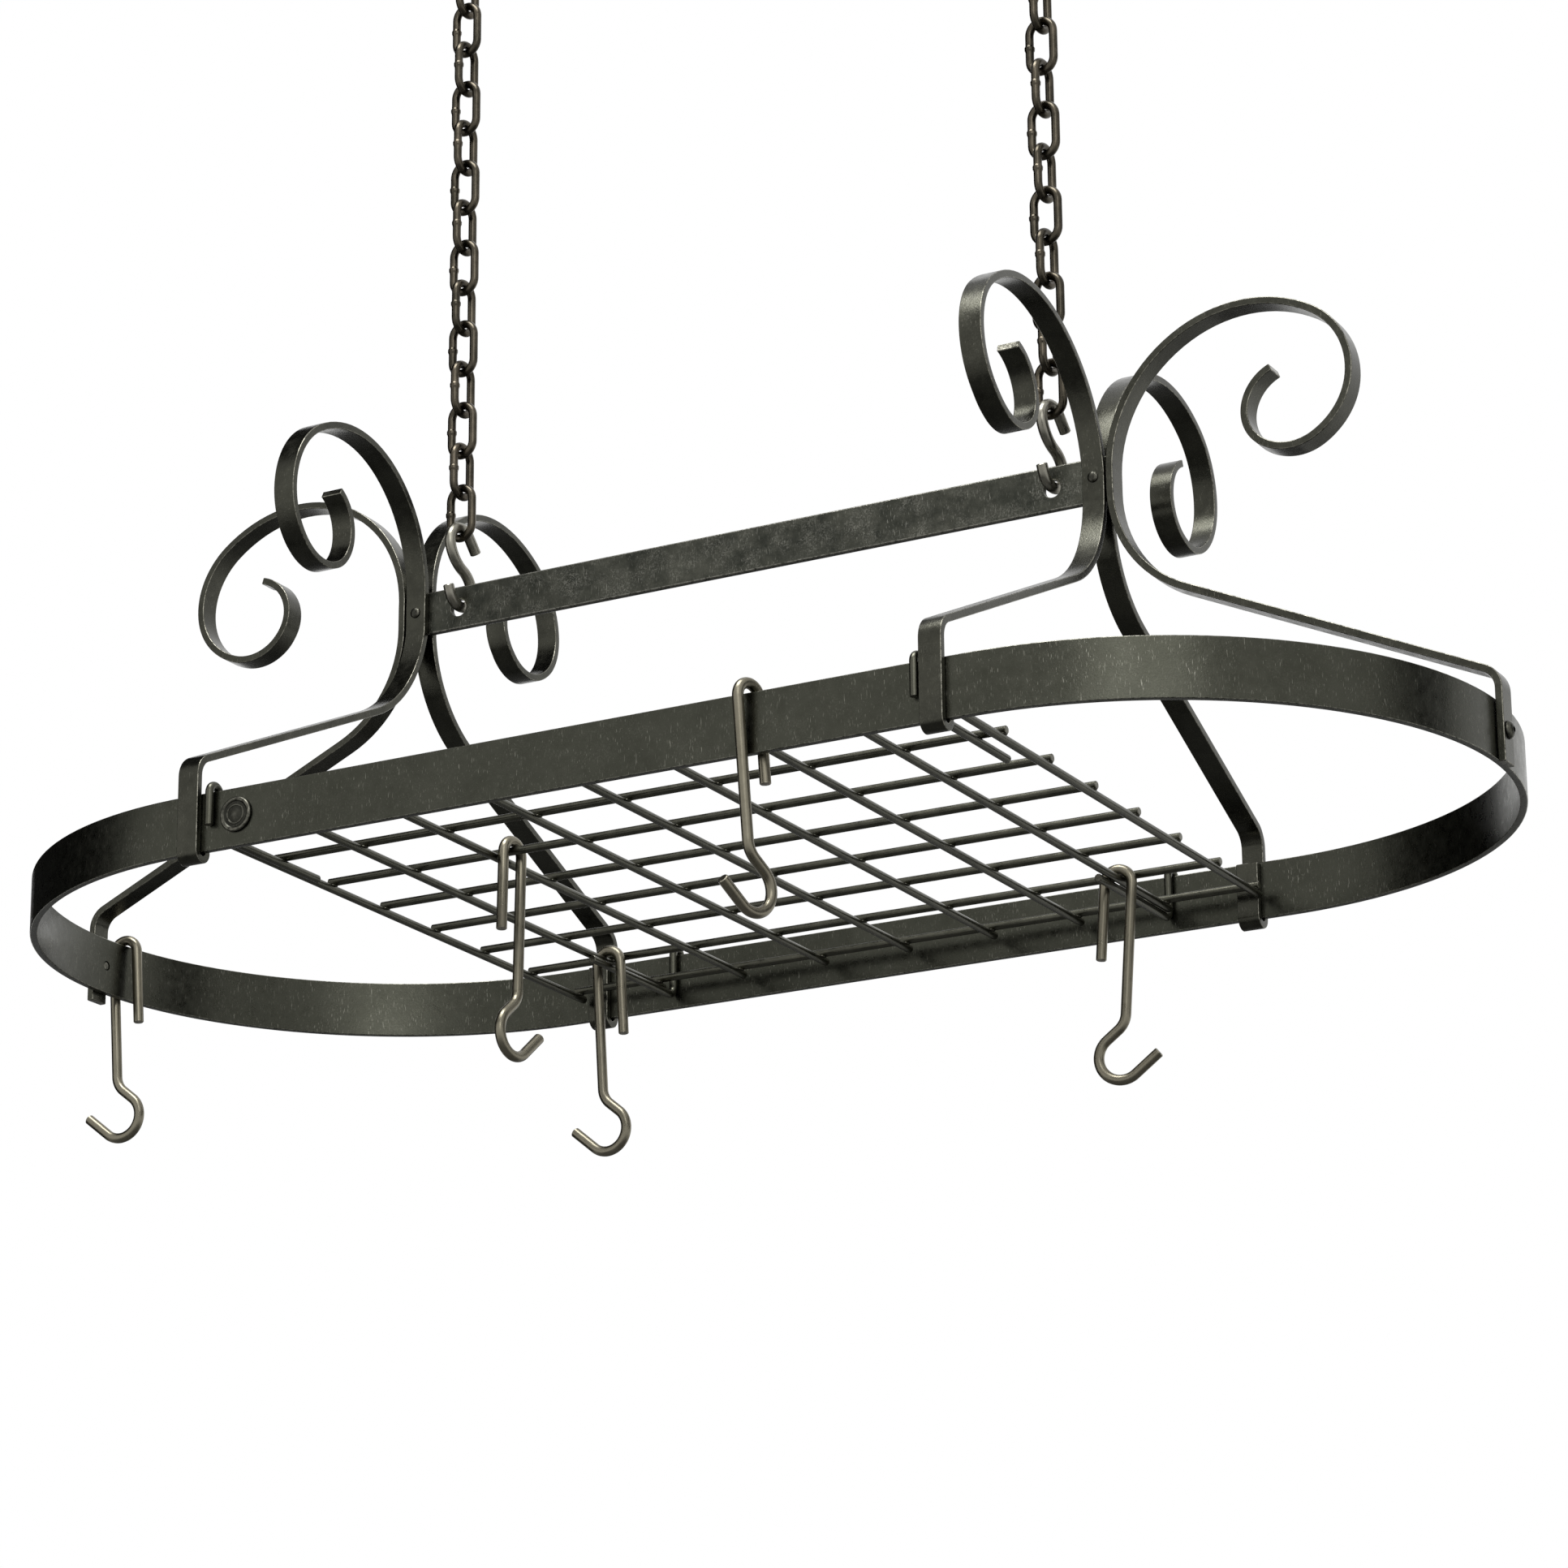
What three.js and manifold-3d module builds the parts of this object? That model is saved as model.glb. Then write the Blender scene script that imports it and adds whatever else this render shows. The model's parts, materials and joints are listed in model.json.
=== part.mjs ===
// Hanging pot rack: an oval flat band hung by six scroll straps from a crossbar, with a wire shelf grid in
// the band, loose pot hooks, and two chains that run up to hooks in the ceiling.
// Millimetres, +X along the rack, -Y towards the front, +Z up. The origin lies in the ceiling plane, midway
// between the two ceiling hooks. While the pieces are made, heights are counted from the band's lower edge.
import * as THREE from 'three';
import { mergeVertices } from 'three/addons/utils/BufferGeometryUtils.js';
import Module from 'manifold-3d';

const wasm = await Module();
wasm.setup();

// Clearances
const SEAT_GAP = 0.3;
const SIDE_GAP = 0.35;
const HOLE_CLEARANCE = 0.3;

// Oval band
const BAND_LENGTH = 851;
const BAND_WIDTH = 397.4;
const BAND_HEIGHT = 31.75;
const BAND_THICKNESS = 4;

// Scroll straps
const STRAP_WIDTH = 12.7;
const STRAP_THICKNESS = 4;
const STRAP_INSET = 16.1;
const KNEE_DROP = 51.5;
const KNEE_RADIUS = 68;
const SIDE_SHOULDER_RISE = 17.75;
const END_SHOULDER_RISE = 13.25;
const SHOULDER_RADIUS = 12;
const SCROLL_START_RISE = 4;
const SCROLL_FIRST_RADIUS = 78.5;
const SCROLL_RADII = [73.5, 43.5, 38.5, 27.5, 22.5];
const SCROLL_ARC_DEGREES = 60;
const SCROLL_LAST_RADIUS = 24.5;
const SCROLL_LAST_DEGREES = 65;
const CRADLE_LIP_DROP = 0.75;
const FRONT_LEFT_LEAN = -11.5;
const FRONT_RIGHT_LEAN = 1.5;
const BACK_LEFT_LEAN = 3;
const BACK_RIGHT_LEAN = -5;
const FRONT_LEFT_SWAY_DEGREES = 2.6;
const FRONT_RIGHT_SWAY_DEGREES = -3.1;
const BACK_LEFT_SWAY_DEGREES = -4.7;
const BACK_RIGHT_SWAY_DEGREES = 0;
const LEFT_END_SWAY_DEGREES = 4.7;
const RIGHT_END_SWAY_DEGREES = 2.5;
const FRONT_LEFT_FIRST_DEGREES = 60;
const FRONT_RIGHT_FIRST_DEGREES = 68.5;
const BACK_LEFT_FIRST_DEGREES = 64.5;
const BACK_RIGHT_FIRST_DEGREES = 64;
const LEFT_END_FIRST_DEGREES = 70.5;
const RIGHT_END_FIRST_DEGREES = 62.5;
const LEFT_FOOT_HEIGHT = -5;
const RIGHT_FOOT_HEIGHT = -1.5;

// Crossbar, its rivets and the screws through the end straps
const BAR_AXIS_HEIGHT = 190.5;
const BAR_HEIGHT = 25;
const BAR_THICKNESS = 4;
const END_STRAP_OFFSET = 9.4;
const BAR_HOLE_INSET = 25.9;
const BAR_HOLE_DIAMETER = 10;
const RIVET_DIAMETER = 3.6;
const RIVET_HEAD_DIAMETER = 6;
const RIVET_HEAD_HEIGHT = 1.4;
const SCREW_DIAMETER = 5;
const SCREW_HEAD_DIAMETER = 9.5;
const SCREW_HEAD_HEIGHT = 2.8;
const SCREW_SOCKET_WIDTH = 3;
const SCREW_SOCKET_DEPTH = 1.6;

// Shelf grid and its four hooks over the band
const GRID_WIRE_DIAMETER = 4.5;
const CROSS_WIRE_HEIGHT = 10.5;
const CROSS_WIRE_COUNT = 9;
const CROSS_WIRE_INSET = 12.4;
const CROSS_WIRE_OVERHANG = 5;
const LONG_WIRE_COUNT = 8;
const LONG_WIRE_INSET = 17.75;
const LONG_WIRE_OVERHANG = 2.6;
const WELD_SINK = 0.5;
const GRID_HOOK_ROD_REACH = 92;
const GRID_HOOK_BEND_RADIUS = 5;
const GRID_HOOK_TIP_HEIGHT = 13;
const FRONT_LEFT_ROD_OFFSET = 4.9;
const FRONT_RIGHT_HOOK_INSET = 8;
const BACK_ROD_OFFSET = 3;
const BACK_ROD_DROP = 3.8;

// Pot hooks
const POT_HOOK_DIAMETER = 5.8;
const POT_HOOK_TOP_RADIUS = 7.65;
const POT_HOOK_SHORT_LEG = 43;
const POT_HOOK_LONG_LEG = 72.8;
const POT_HOOK_NECK_RADIUS = 12;
const POT_HOOK_NECK_DEGREES = 47.5;
const POT_HOOK_NECK_RUN = 8.3;
const POT_HOOK_BOWL_RADIUS = 12.6;
const POT_HOOK_BOWL_DEGREES = 180;
const POT_HOOK_TIP_RUN = 17.3;
const BAND_HOOK_PLAY = 0.5;
const FRONT_HOOK_OUTSET = 1.5;
const PAIR_HOOK_DROP = 1.4;
const PAIR_HOOK_SETBACKS = [7.9, 6.7];
const SHELF_HOOK_SHIFT = 6.4;
const BAND_HOOK_X = 109.9;
const END_HOOK_BEARING = 174.4;

// S-hooks
const S_HOOK_DIAMETER = 6.2;
const S_HOOK_LOWER_TIP = 4.2;
const S_HOOK_LOWER_FLARE_DEGREES = 21;
const S_HOOK_LOWER_RADIUS = 10.1;
const S_HOOK_LEAN_DEGREES = 12;
const S_HOOK_LOWER_WAIST_RADIUS = 14;
const S_HOOK_LOWER_WAIST_DEGREES = 54;
const S_HOOK_UPPER_WAIST_RADIUS = 20.5;
const S_HOOK_UPPER_WAIST_DEGREES = 47;
const S_HOOK_UPPER_RADIUS = 9.6;
const S_HOOK_UPPER_FLARE_DEGREES = 38;
const S_HOOK_UPPER_TIP = 10;
const S_HOOK_PLAY = 0.95;
const LEFT_S_HOOK_TURN = 84;
const RIGHT_S_HOOK_TURN = 83;

// Chains
const LINK_COUNT = 14;
const LINK_WIRE_DIAMETER = 4.7;
const LINK_INNER_LENGTH = 25.4;
const LINK_OUTER_WIDTH = 19.6;
const LINK_TURN = -5;

// Ceiling hooks
const CEILING_HOOK_DIAMETER = 6;
const CEILING_HOOK_RADIUS = 10;
const CEILING_HOOK_TIP_DEGREES = 20;
const CEILING_HOOK_SHANK = 7;
const CEILING_PLATE_DIAMETER = 26;
const CEILING_PLATE_THICKNESS = 3;
const CEILING_SCREW_DIAMETER = 5.5;
const CEILING_SCREW_LENGTH = 35;

// Plain round badge on the front of the band
const BADGE_DIAMETER = 19;
const BADGE_THICKNESS = 1.6;
const BADGE_INSET = 16.7;
const BADGE_HEIGHT = 17;

// Fineness of the faceted surfaces
const BEND_STEP_DEGREES = 14;
const BAND_CURVE_SEGMENTS = 15;
const WIRE_SIDES = 8;
const LINK_SIDES = 6;
const LINK_STEPS = 14;
const HOLE_SIDES = 16;

const halfWidth = BAND_WIDTH / 2;
const halfLength = BAND_LENGTH / 2;
const straightHalf = halfLength - halfWidth;
const strapCentreX = straightHalf - STRAP_INSET;
const barHoleX = strapCentreX - BAR_HOLE_INSET;
const screwHeight = BAND_HEIGHT / 2;
const degrees = THREE.MathUtils.degToRad;

const steel = (name, color, roughness, metalness) =>
  Object.assign(new THREE.MeshStandardMaterial({ color, roughness, metalness }), { name });
const finishes = {
  band: () => steel('dark_oiled_steel', 0x3d3e39, 0.45, 0.7),
  strap: () => steel('dark_strap_steel', 0x45453f, 0.42, 0.7),
  wire: () => steel('dark_wire_steel', 0x4d4c44, 0.4, 0.7),
  hook: () => steel('brushed_hook_steel', 0x7b7468, 0.32, 0.85),
  chain: () => steel('bronzed_chain_steel', 0x453d35, 0.4, 0.8),
  fastener: () => steel('black_fastener_steel', 0x2e2e2b, 0.4, 0.75),
};

// ---- Bent bars -----------------------------------------------------------------------------------------

// A bar bent in the local XZ plane: runs and bends laid end to end, a positive turn being anticlockwise.
class Bender {
  constructor(x, z, headingDegrees) {
    this.x = x;
    this.z = z;
    this.heading = degrees(headingDegrees);
    this.samples = [];
    this.mark();
  }

  mark() {
    const point = new THREE.Vector3(this.x, 0, this.z);
    const tangent = new THREE.Vector3(Math.cos(this.heading), 0, Math.sin(this.heading));
    this.samples.push({ point, tangent });
  }

  run(length) {
    this.x += length * Math.cos(this.heading);
    this.z += length * Math.sin(this.heading);
    this.mark();
    return this;
  }

  bend(radius, turnDegrees) {
    const steps = Math.max(1, Math.round(Math.abs(turnDegrees) / BEND_STEP_DEGREES));
    const turn = degrees(turnDegrees) / steps;
    const chord = 2 * radius * Math.sin(Math.abs(turn) / 2);
    for (let step = 0; step < steps; step += 1) {
      this.x += chord * Math.cos(this.heading + turn / 2);
      this.z += chord * Math.sin(this.heading + turn / 2);
      this.heading += turn;
      this.mark();
    }
    return this;
  }
}

// The bender's samples as a curve, so that a section meets each sample and never tips out of the plane.
class BentCurve extends THREE.Curve {
  constructor(samples) {
    super();
    this.samples = samples;
  }

  sampleAt(t) {
    return this.samples[Math.round(t * (this.samples.length - 1))];
  }

  getPoint(t, target = new THREE.Vector3()) {
    return target.copy(this.sampleAt(t).point);
  }

  getTangent(t, target = new THREE.Vector3()) {
    return target.copy(this.sampleAt(t).tangent);
  }

  getUtoTmapping(u) {
    return u;
  }

  computeFrenetFrames() {
    const tangents = this.samples.map(({ tangent }) => tangent.clone());
    const normals = tangents.map(() => new THREE.Vector3(0, 1, 0));
    const binormals = tangents.map((tangent, index) => tangent.clone().cross(normals[index]));
    return { tangents, normals, binormals };
  }
}

const sweep = (bender, section) =>
  new THREE.ExtrudeGeometry(section, {
    steps: bender.samples.length - 1,
    extrudePath: new BentCurve(bender.samples),
    bevelEnabled: false,
  });

function roundSection(diameter, sides = WIRE_SIDES) {
  const points = [];
  for (let side = 0; side < sides; side += 1) {
    const angle = (2 * Math.PI * (side + 0.5)) / sides;
    points.push(new THREE.Vector2((diameter / 2) * Math.cos(angle), (diameter / 2) * Math.sin(angle)));
  }
  return new THREE.Shape(points);
}

function flatSection(width, thickness) {
  const section = new THREE.Shape();
  section.moveTo(-width / 2, -thickness / 2);
  section.lineTo(width / 2, -thickness / 2);
  section.lineTo(width / 2, thickness / 2);
  section.lineTo(-width / 2, thickness / 2);
  return section;
}

// ---- Solids --------------------------------------------------------------------------------------------

function weld(geometry) {
  const bare = geometry.clone();
  bare.deleteAttribute('normal');
  bare.deleteAttribute('uv');
  return mergeVertices(bare, 1e-4);
}

function toManifold(geometry) {
  const welded = weld(geometry);
  return new wasm.Manifold(
    new wasm.Mesh({
      numProp: 3,
      vertProperties: new Float32Array(welded.attributes.position.array),
      triVerts: new Uint32Array(welded.index.array),
    }),
  );
}

function toGeometry(manifold) {
  const mesh = manifold.getMesh();
  const geometry = new THREE.BufferGeometry();
  geometry.setAttribute('position', new THREE.BufferAttribute(new Float32Array(mesh.vertProperties), 3));
  geometry.setIndex(new THREE.BufferAttribute(new Uint32Array(mesh.triVerts), 1));
  geometry.computeVertexNormals();
  return geometry;
}

const cut = (geometry, ...tools) =>
  toGeometry(tools.reduce((solid, tool) => solid.subtract(toManifold(tool)), toManifold(geometry)));

const join = (geometry, ...others) =>
  toGeometry(others.reduce((solid, other) => solid.add(toManifold(other)), toManifold(geometry)));

const rodAlongX = (diameter, length, sides) =>
  new THREE.CylinderGeometry(diameter / 2, diameter / 2, length, sides).rotateZ(Math.PI / 2);

const rodAlongY = (diameter, length, sides) =>
  new THREE.CylinderGeometry(diameter / 2, diameter / 2, length, sides);

const screwHole = SCREW_DIAMETER + 2 * HOLE_CLEARANCE;
const rivetHole = RIVET_DIAMETER + 2 * HOLE_CLEARANCE;

const rack = new THREE.Group();

function place(name, geometry, material, position = [0, 0, 0], turnDegrees = 0) {
  const mesh = new THREE.Mesh(geometry, material);
  mesh.name = name;
  mesh.position.set(...position);
  mesh.rotation.z = degrees(turnDegrees);
  rack.add(mesh);
}

// ---- Oval band and badge -------------------------------------------------------------------------------

function ovalPath(path, inset) {
  const radius = halfWidth - inset;
  path.moveTo(-straightHalf, -radius);
  path.lineTo(straightHalf, -radius);
  path.absarc(straightHalf, 0, radius, -Math.PI / 2, Math.PI / 2, false);
  path.lineTo(-straightHalf, radius);
  path.absarc(-straightHalf, 0, radius, Math.PI / 2, (3 * Math.PI) / 2, false);
  return path;
}

function makeBand() {
  const outline = ovalPath(new THREE.Shape(), 0);
  outline.holes.push(ovalPath(new THREE.Path(), BAND_THICKNESS));
  const band = new THREE.ExtrudeGeometry(outline, {
    depth: BAND_HEIGHT,
    curveSegments: BAND_CURVE_SEGMENTS,
    bevelEnabled: false,
  });
  const screwHoles = [-1, 1].map((side) =>
    rodAlongX(screwHole, 4 * BAND_THICKNESS, HOLE_SIDES).translate(side * halfLength, 0, screwHeight),
  );
  place('ring', cut(band, ...screwHoles), finishes.band());
}

function makeBadge() {
  const radius = BADGE_DIAMETER / 2;
  const profile = [
    [0, 0],
    [radius, 0],
    [radius, 0.5 * BADGE_THICKNESS],
    [0.9 * radius, BADGE_THICKNESS],
    [0.72 * radius, BADGE_THICKNESS],
    [0.66 * radius, 0.6 * BADGE_THICKNESS],
    [0, 0.85 * BADGE_THICKNESS],
  ].map(([x, y]) => new THREE.Vector2(x, y));
  const badge = new THREE.LatheGeometry(profile, 20).rotateX(Math.PI);
  const position = [BADGE_INSET - strapCentreX, -halfWidth - SEAT_GAP, BADGE_HEIGHT];
  place('badge', badge, finishes.fastener(), position);
}

// ---- Scroll straps -------------------------------------------------------------------------------------

// The strap's centre line beside the bar, and where its outer leg runs down past the band.
const sidePost = BAR_THICKNESS / 2 + SEAT_GAP + STRAP_THICKNESS / 2;
const endPost = strapCentreX + END_STRAP_OFFSET;
const legOffset = SIDE_GAP + STRAP_THICKNESS / 2;
const kneeHeight = BAR_AXIS_HEIGHT - KNEE_DROP;
const sideShoulder = BAND_HEIGHT + SIDE_SHOULDER_RISE;
const endShoulder = BAND_HEIGHT + END_SHOULDER_RISE;

// From a leg that rises at legX, over the shoulder, up the sweep to the knee, and on into the scroll, whose
// first arc turns by firstDegrees.
function sweepAndScroll(bender, legX, postX, shoulderHeight, firstDegrees) {
  const rise = kneeHeight - shoulderHeight;
  const reach = legX - postX;
  const slope = THREE.MathUtils.radToDeg(Math.atan2(rise, reach));
  const turn = 90 - slope;
  const trimAtShoulder = SHOULDER_RADIUS * Math.tan(degrees(turn) / 2);
  const trimAtKnee = KNEE_RADIUS * Math.tan(degrees(turn) / 2);
  bender.run(shoulderHeight - trimAtShoulder - bender.z);
  bender.bend(SHOULDER_RADIUS, turn);
  bender.run(Math.hypot(rise, reach) - trimAtShoulder - trimAtKnee);
  bender.bend(KNEE_RADIUS, -turn);
  bender.run(BAR_AXIS_HEIGHT + SCROLL_START_RISE - bender.z);
  bender.bend(SCROLL_FIRST_RADIUS, -firstDegrees);
  for (const radius of SCROLL_RADII) {
    bender.bend(radius, -SCROLL_ARC_DEGREES);
  }
  bender.bend(SCROLL_LAST_RADIUS, -SCROLL_LAST_DEGREES);
}

const strapSection = () => flatSection(STRAP_WIDTH, STRAP_THICKNESS);

// Sets a strap sideways along its own Y: by lean millimetres on its way down from the bar to the shoulder,
// and by swayDegrees above the bar, where the scroll begins.
function setSideways(geometry, lean, swayDegrees) {
  const barBottom = BAR_AXIS_HEIGHT - BAR_HEIGHT / 2;
  const scrollStart = BAR_AXIS_HEIGHT + SCROLL_START_RISE;
  const position = geometry.attributes.position;
  for (let index = 0; index < position.count; index += 1) {
    const z = position.getZ(index);
    const share = (barBottom - z) / (barBottom - sideShoulder);
    const sway = Math.tan(degrees(swayDegrees)) * Math.max(0, z - scrollStart);
    position.setY(index, position.getY(index) + lean * THREE.MathUtils.clamp(share, 0, 1) + sway);
  }
  return geometry;
}

function makeSideStrap(name, x, turnDegrees, lean, swayDegrees, firstDegrees) {
  const cradleRadius = BAND_THICKNESS / 2 + SIDE_GAP + STRAP_THICKNESS / 2;
  const cradleInner = cradleRadius - STRAP_THICKNESS / 2;
  const cradleHeight = Math.sqrt(cradleInner ** 2 - (BAND_THICKNESS / 2) ** 2) - SEAT_GAP;
  const innerLeg = halfWidth - BAND_THICKNESS - legOffset;
  const lip = BAND_HEIGHT - CRADLE_LIP_DROP;
  const bender = new Bender(innerLeg, lip, -90);
  bender.run(lip - cradleHeight).bend(cradleRadius, 180);
  sweepAndScroll(bender, halfWidth + legOffset, sidePost, sideShoulder, firstDegrees);
  const strap = setSideways(sweep(bender, strapSection()), lean, swayDegrees);
  const hole = rodAlongX(rivetHole, 4 * STRAP_THICKNESS, HOLE_SIDES).translate(sidePost, 0, BAR_AXIS_HEIGHT);
  place(name, cut(strap, hole), finishes.strap(), [x, 0, 0], turnDegrees);
}

function makeEndStrap(name, footHeight, turnDegrees, swayDegrees, firstDegrees) {
  const leg = halfLength + legOffset;
  const bender = new Bender(leg, footHeight, 90);
  sweepAndScroll(bender, leg, endPost, endShoulder, firstDegrees);
  const strap = setSideways(sweep(bender, strapSection()), 0, swayDegrees);
  const hole = rodAlongX(screwHole, 4 * STRAP_THICKNESS, HOLE_SIDES).translate(leg, 0, screwHeight);
  place(name, cut(strap, hole), finishes.strap(), [0, 0, 0], turnDegrees);
}

// ---- Crossbar, rivets and end screws -------------------------------------------------------------------

const barHalf = endPost - STRAP_THICKNESS / 2 - SEAT_GAP;

function makeCrossbar() {
  const bar = new THREE.BoxGeometry(2 * barHalf, BAR_THICKNESS, BAR_HEIGHT);
  const holes = [];
  for (const side of [-1, 1]) {
    holes.push(rodAlongY(BAR_HOLE_DIAMETER, 3 * BAR_THICKNESS, 20).translate(side * barHoleX, 0, 0));
    holes.push(rodAlongY(rivetHole, 3 * BAR_THICKNESS, HOLE_SIDES).translate(side * strapCentreX, 0, 0));
  }
  place('crossbar', cut(bar, ...holes), finishes.band(), [0, 0, BAR_AXIS_HEIGHT]);
}

// A round head that swells from its seat, as a lathe profile from the rim to the axis.
const domedHead = (seat, radius, height) => [
  [radius, seat],
  [0.94 * radius, seat + 0.5 * height],
  [0.7 * radius, seat + 0.85 * height],
  [0, seat + height],
];

function makeRivet(name, x) {
  const seat = sidePost + STRAP_THICKNESS / 2 + SEAT_GAP;
  const shank = RIVET_DIAMETER / 2;
  const upper = [[shank, seat], ...domedHead(seat, RIVET_HEAD_DIAMETER / 2, RIVET_HEAD_HEIGHT)];
  const lower = upper.map(([radius, along]) => [radius, -along]).reverse();
  const profile = [...lower, ...upper].map(([radius, along]) => new THREE.Vector2(radius, along));
  place(name, new THREE.LatheGeometry(profile, HOLE_SIDES), finishes.fastener(), [x, 0, BAR_AXIS_HEIGHT]);
}

// The screw lies along its local Y axis: a shank through the strap and the band, and a socketed round head.
function makeEndScrew(name, side) {
  const seat = halfLength + SIDE_GAP + STRAP_THICKNESS + SEAT_GAP;
  const tip = halfLength - BAND_THICKNESS + SIDE_GAP;
  const shank = SCREW_DIAMETER / 2;
  const profile = [[0, tip - seat], [shank, tip - seat], [shank, 0]];
  profile.push(...domedHead(0, SCREW_HEAD_DIAMETER / 2, SCREW_HEAD_HEIGHT));
  const screw = new THREE.LatheGeometry(
    profile.map(([radius, along]) => new THREE.Vector2(radius, along)),
    HOLE_SIDES,
  );
  const socket = rodAlongY(SCREW_SOCKET_WIDTH, 2 * SCREW_SOCKET_DEPTH, 6).translate(0, SCREW_HEAD_HEIGHT, 0);
  place(name, cut(screw, socket), finishes.fastener(), [side * seat, 0, screwHeight], -90 * side);
}

// ---- Shelf grid ----------------------------------------------------------------------------------------

const longWireHeight = CROSS_WIRE_HEIGHT + GRID_WIRE_DIAMETER - WELD_SINK;
const frontRodHeight = longWireHeight - GRID_WIRE_DIAMETER - SEAT_GAP;
const backRodHeight = CROSS_WIRE_HEIGHT - BACK_ROD_DROP;
const firstCrossWire = straightHalf - CROSS_WIRE_INSET;
const firstLongWire = halfWidth - LONG_WIRE_INSET;
const crossPitch = (2 * firstCrossWire) / (CROSS_WIRE_COUNT - 1);
const longPitch = (2 * firstLongWire) / (LONG_WIRE_COUNT - 1);
const hookWireX = firstCrossWire - crossPitch;

function evenly(count, pitch, make) {
  return Array.from({ length: count }, (_, index) => make((index - (count - 1) / 2) * pitch));
}

function makeGrid() {
  const crossWireLength = 2 * (firstLongWire + CROSS_WIRE_OVERHANG);
  const longWireLength = 2 * (firstCrossWire + LONG_WIRE_OVERHANG);
  const across = evenly(CROSS_WIRE_COUNT, crossPitch, (x) =>
    rodAlongY(GRID_WIRE_DIAMETER, crossWireLength, WIRE_SIDES).translate(x, 0, CROSS_WIRE_HEIGHT),
  );
  const along = evenly(LONG_WIRE_COUNT, longPitch, (y) =>
    rodAlongX(GRID_WIRE_DIAMETER, longWireLength, WIRE_SIDES).translate(0, y, longWireHeight),
  );
  place('grid', join(...across, ...along), finishes.wire());
}

// Each grid hook runs in a plane across the band: down outside it, over its top and in under the long wires.
function makeGridHook(name, x, turnDegrees, rodHeight) {
  const wireRadius = GRID_WIRE_DIAMETER / 2;
  const topRadius = BAND_THICKNESS / 2 + SIDE_GAP + wireRadius;
  const overhang = Math.sqrt((topRadius - wireRadius) ** 2 - (BAND_THICKNESS / 2) ** 2);
  const topHeight = BAND_HEIGHT + SEAT_GAP - overhang;
  const outerLeg = halfWidth + SIDE_GAP + wireRadius;
  const bender = new Bender(outerLeg, GRID_HOOK_TIP_HEIGHT, 90);
  bender.run(topHeight - GRID_HOOK_TIP_HEIGHT).bend(topRadius, 180);
  bender.run(topHeight - rodHeight - GRID_HOOK_BEND_RADIUS);
  bender.bend(GRID_HOOK_BEND_RADIUS, -90).run(GRID_HOOK_ROD_REACH - GRID_HOOK_BEND_RADIUS);
  place(name, sweep(bender, roundSection(GRID_WIRE_DIAMETER)), finishes.wire(), [x, 0, 0], turnDegrees);
}

// ---- Pot hooks -----------------------------------------------------------------------------------------

// The hook's own origin is the centre of its top bend; the long leg hangs at -X and the short leg at +X.
// It hangs out of plumb by tiltDegrees, its long leg swung towards the short one.
function makePotHook(name, position, turnDegrees, tiltDegrees) {
  const bender = new Bender(POT_HOOK_TOP_RADIUS, -POT_HOOK_SHORT_LEG, 90);
  bender.run(POT_HOOK_SHORT_LEG).bend(POT_HOOK_TOP_RADIUS, 180).run(POT_HOOK_LONG_LEG);
  bender.bend(POT_HOOK_NECK_RADIUS, POT_HOOK_NECK_DEGREES).run(POT_HOOK_NECK_RUN);
  bender.bend(POT_HOOK_BOWL_RADIUS, -POT_HOOK_BOWL_DEGREES).run(POT_HOOK_TIP_RUN);
  const hook = sweep(bender, roundSection(POT_HOOK_DIAMETER)).rotateY(-degrees(tiltDegrees));
  place(name, hook, finishes.hook(), position, turnDegrees);
}

const potHookInner = POT_HOOK_TOP_RADIUS - POT_HOOK_DIAMETER / 2;

// Height of a pot hook's top bend over a round wire, and over the band's upper edge, whose middle it may pass
// by outset millimetres.
const hungOnWire = (wireHeight) => wireHeight + GRID_WIRE_DIAMETER / 2 + SEAT_GAP - potHookInner;
const hungOnBand = (outset) =>
  BAND_HEIGHT + BAND_HOOK_PLAY - Math.sqrt(potHookInner ** 2 - (BAND_THICKNESS / 2 + outset) ** 2);

function makePotHooks() {
  const bandLine = halfWidth - BAND_THICKNESS / 2;
  const bearing = degrees(END_HOOK_BEARING);
  const endX = -straightHalf + bandLine * Math.cos(bearing);
  makePotHook('pot_hook_1', [endX, bandLine * Math.sin(bearing), hungOnBand(0)], 2.6, 3.7);
  const shelfX = SHELF_HOOK_SHIFT - 2 * crossPitch;
  const shelfY = 2 * longPitch - firstLongWire;
  makePotHook('pot_hook_2', [shelfX, shelfY, hungOnWire(longWireHeight)], 264.3, 1.7);
  const frontY = -bandLine - FRONT_HOOK_OUTSET;
  makePotHook('pot_hook_3', [BAND_HOOK_X, frontY, hungOnBand(FRONT_HOOK_OUTSET)], 74.5, 5);
  // The last two hang over a cross wire together with the back grid hook's rod beside it.
  const pairX = hookWireX - BACK_ROD_OFFSET / 2;
  const pairY = PAIR_HOOK_SETBACKS.map((setback) => firstLongWire - longPitch - setback);
  makePotHook('pot_hook_4', [-pairX, pairY[0], CROSS_WIRE_HEIGHT - PAIR_HOOK_DROP], -1.2, 3.1);
  makePotHook('pot_hook_5', [pairX, pairY[1], CROSS_WIRE_HEIGHT - PAIR_HOOK_DROP], 186.9, 4.3);
}

// ---- S-hooks, chains and ceiling hooks -----------------------------------------------------------------

const sHookRadius = S_HOOK_DIAMETER / 2;
const sHookLowest = BAR_AXIS_HEIGHT + BAR_HOLE_DIAMETER / 2 - sHookRadius - S_HOOK_PLAY;

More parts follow.
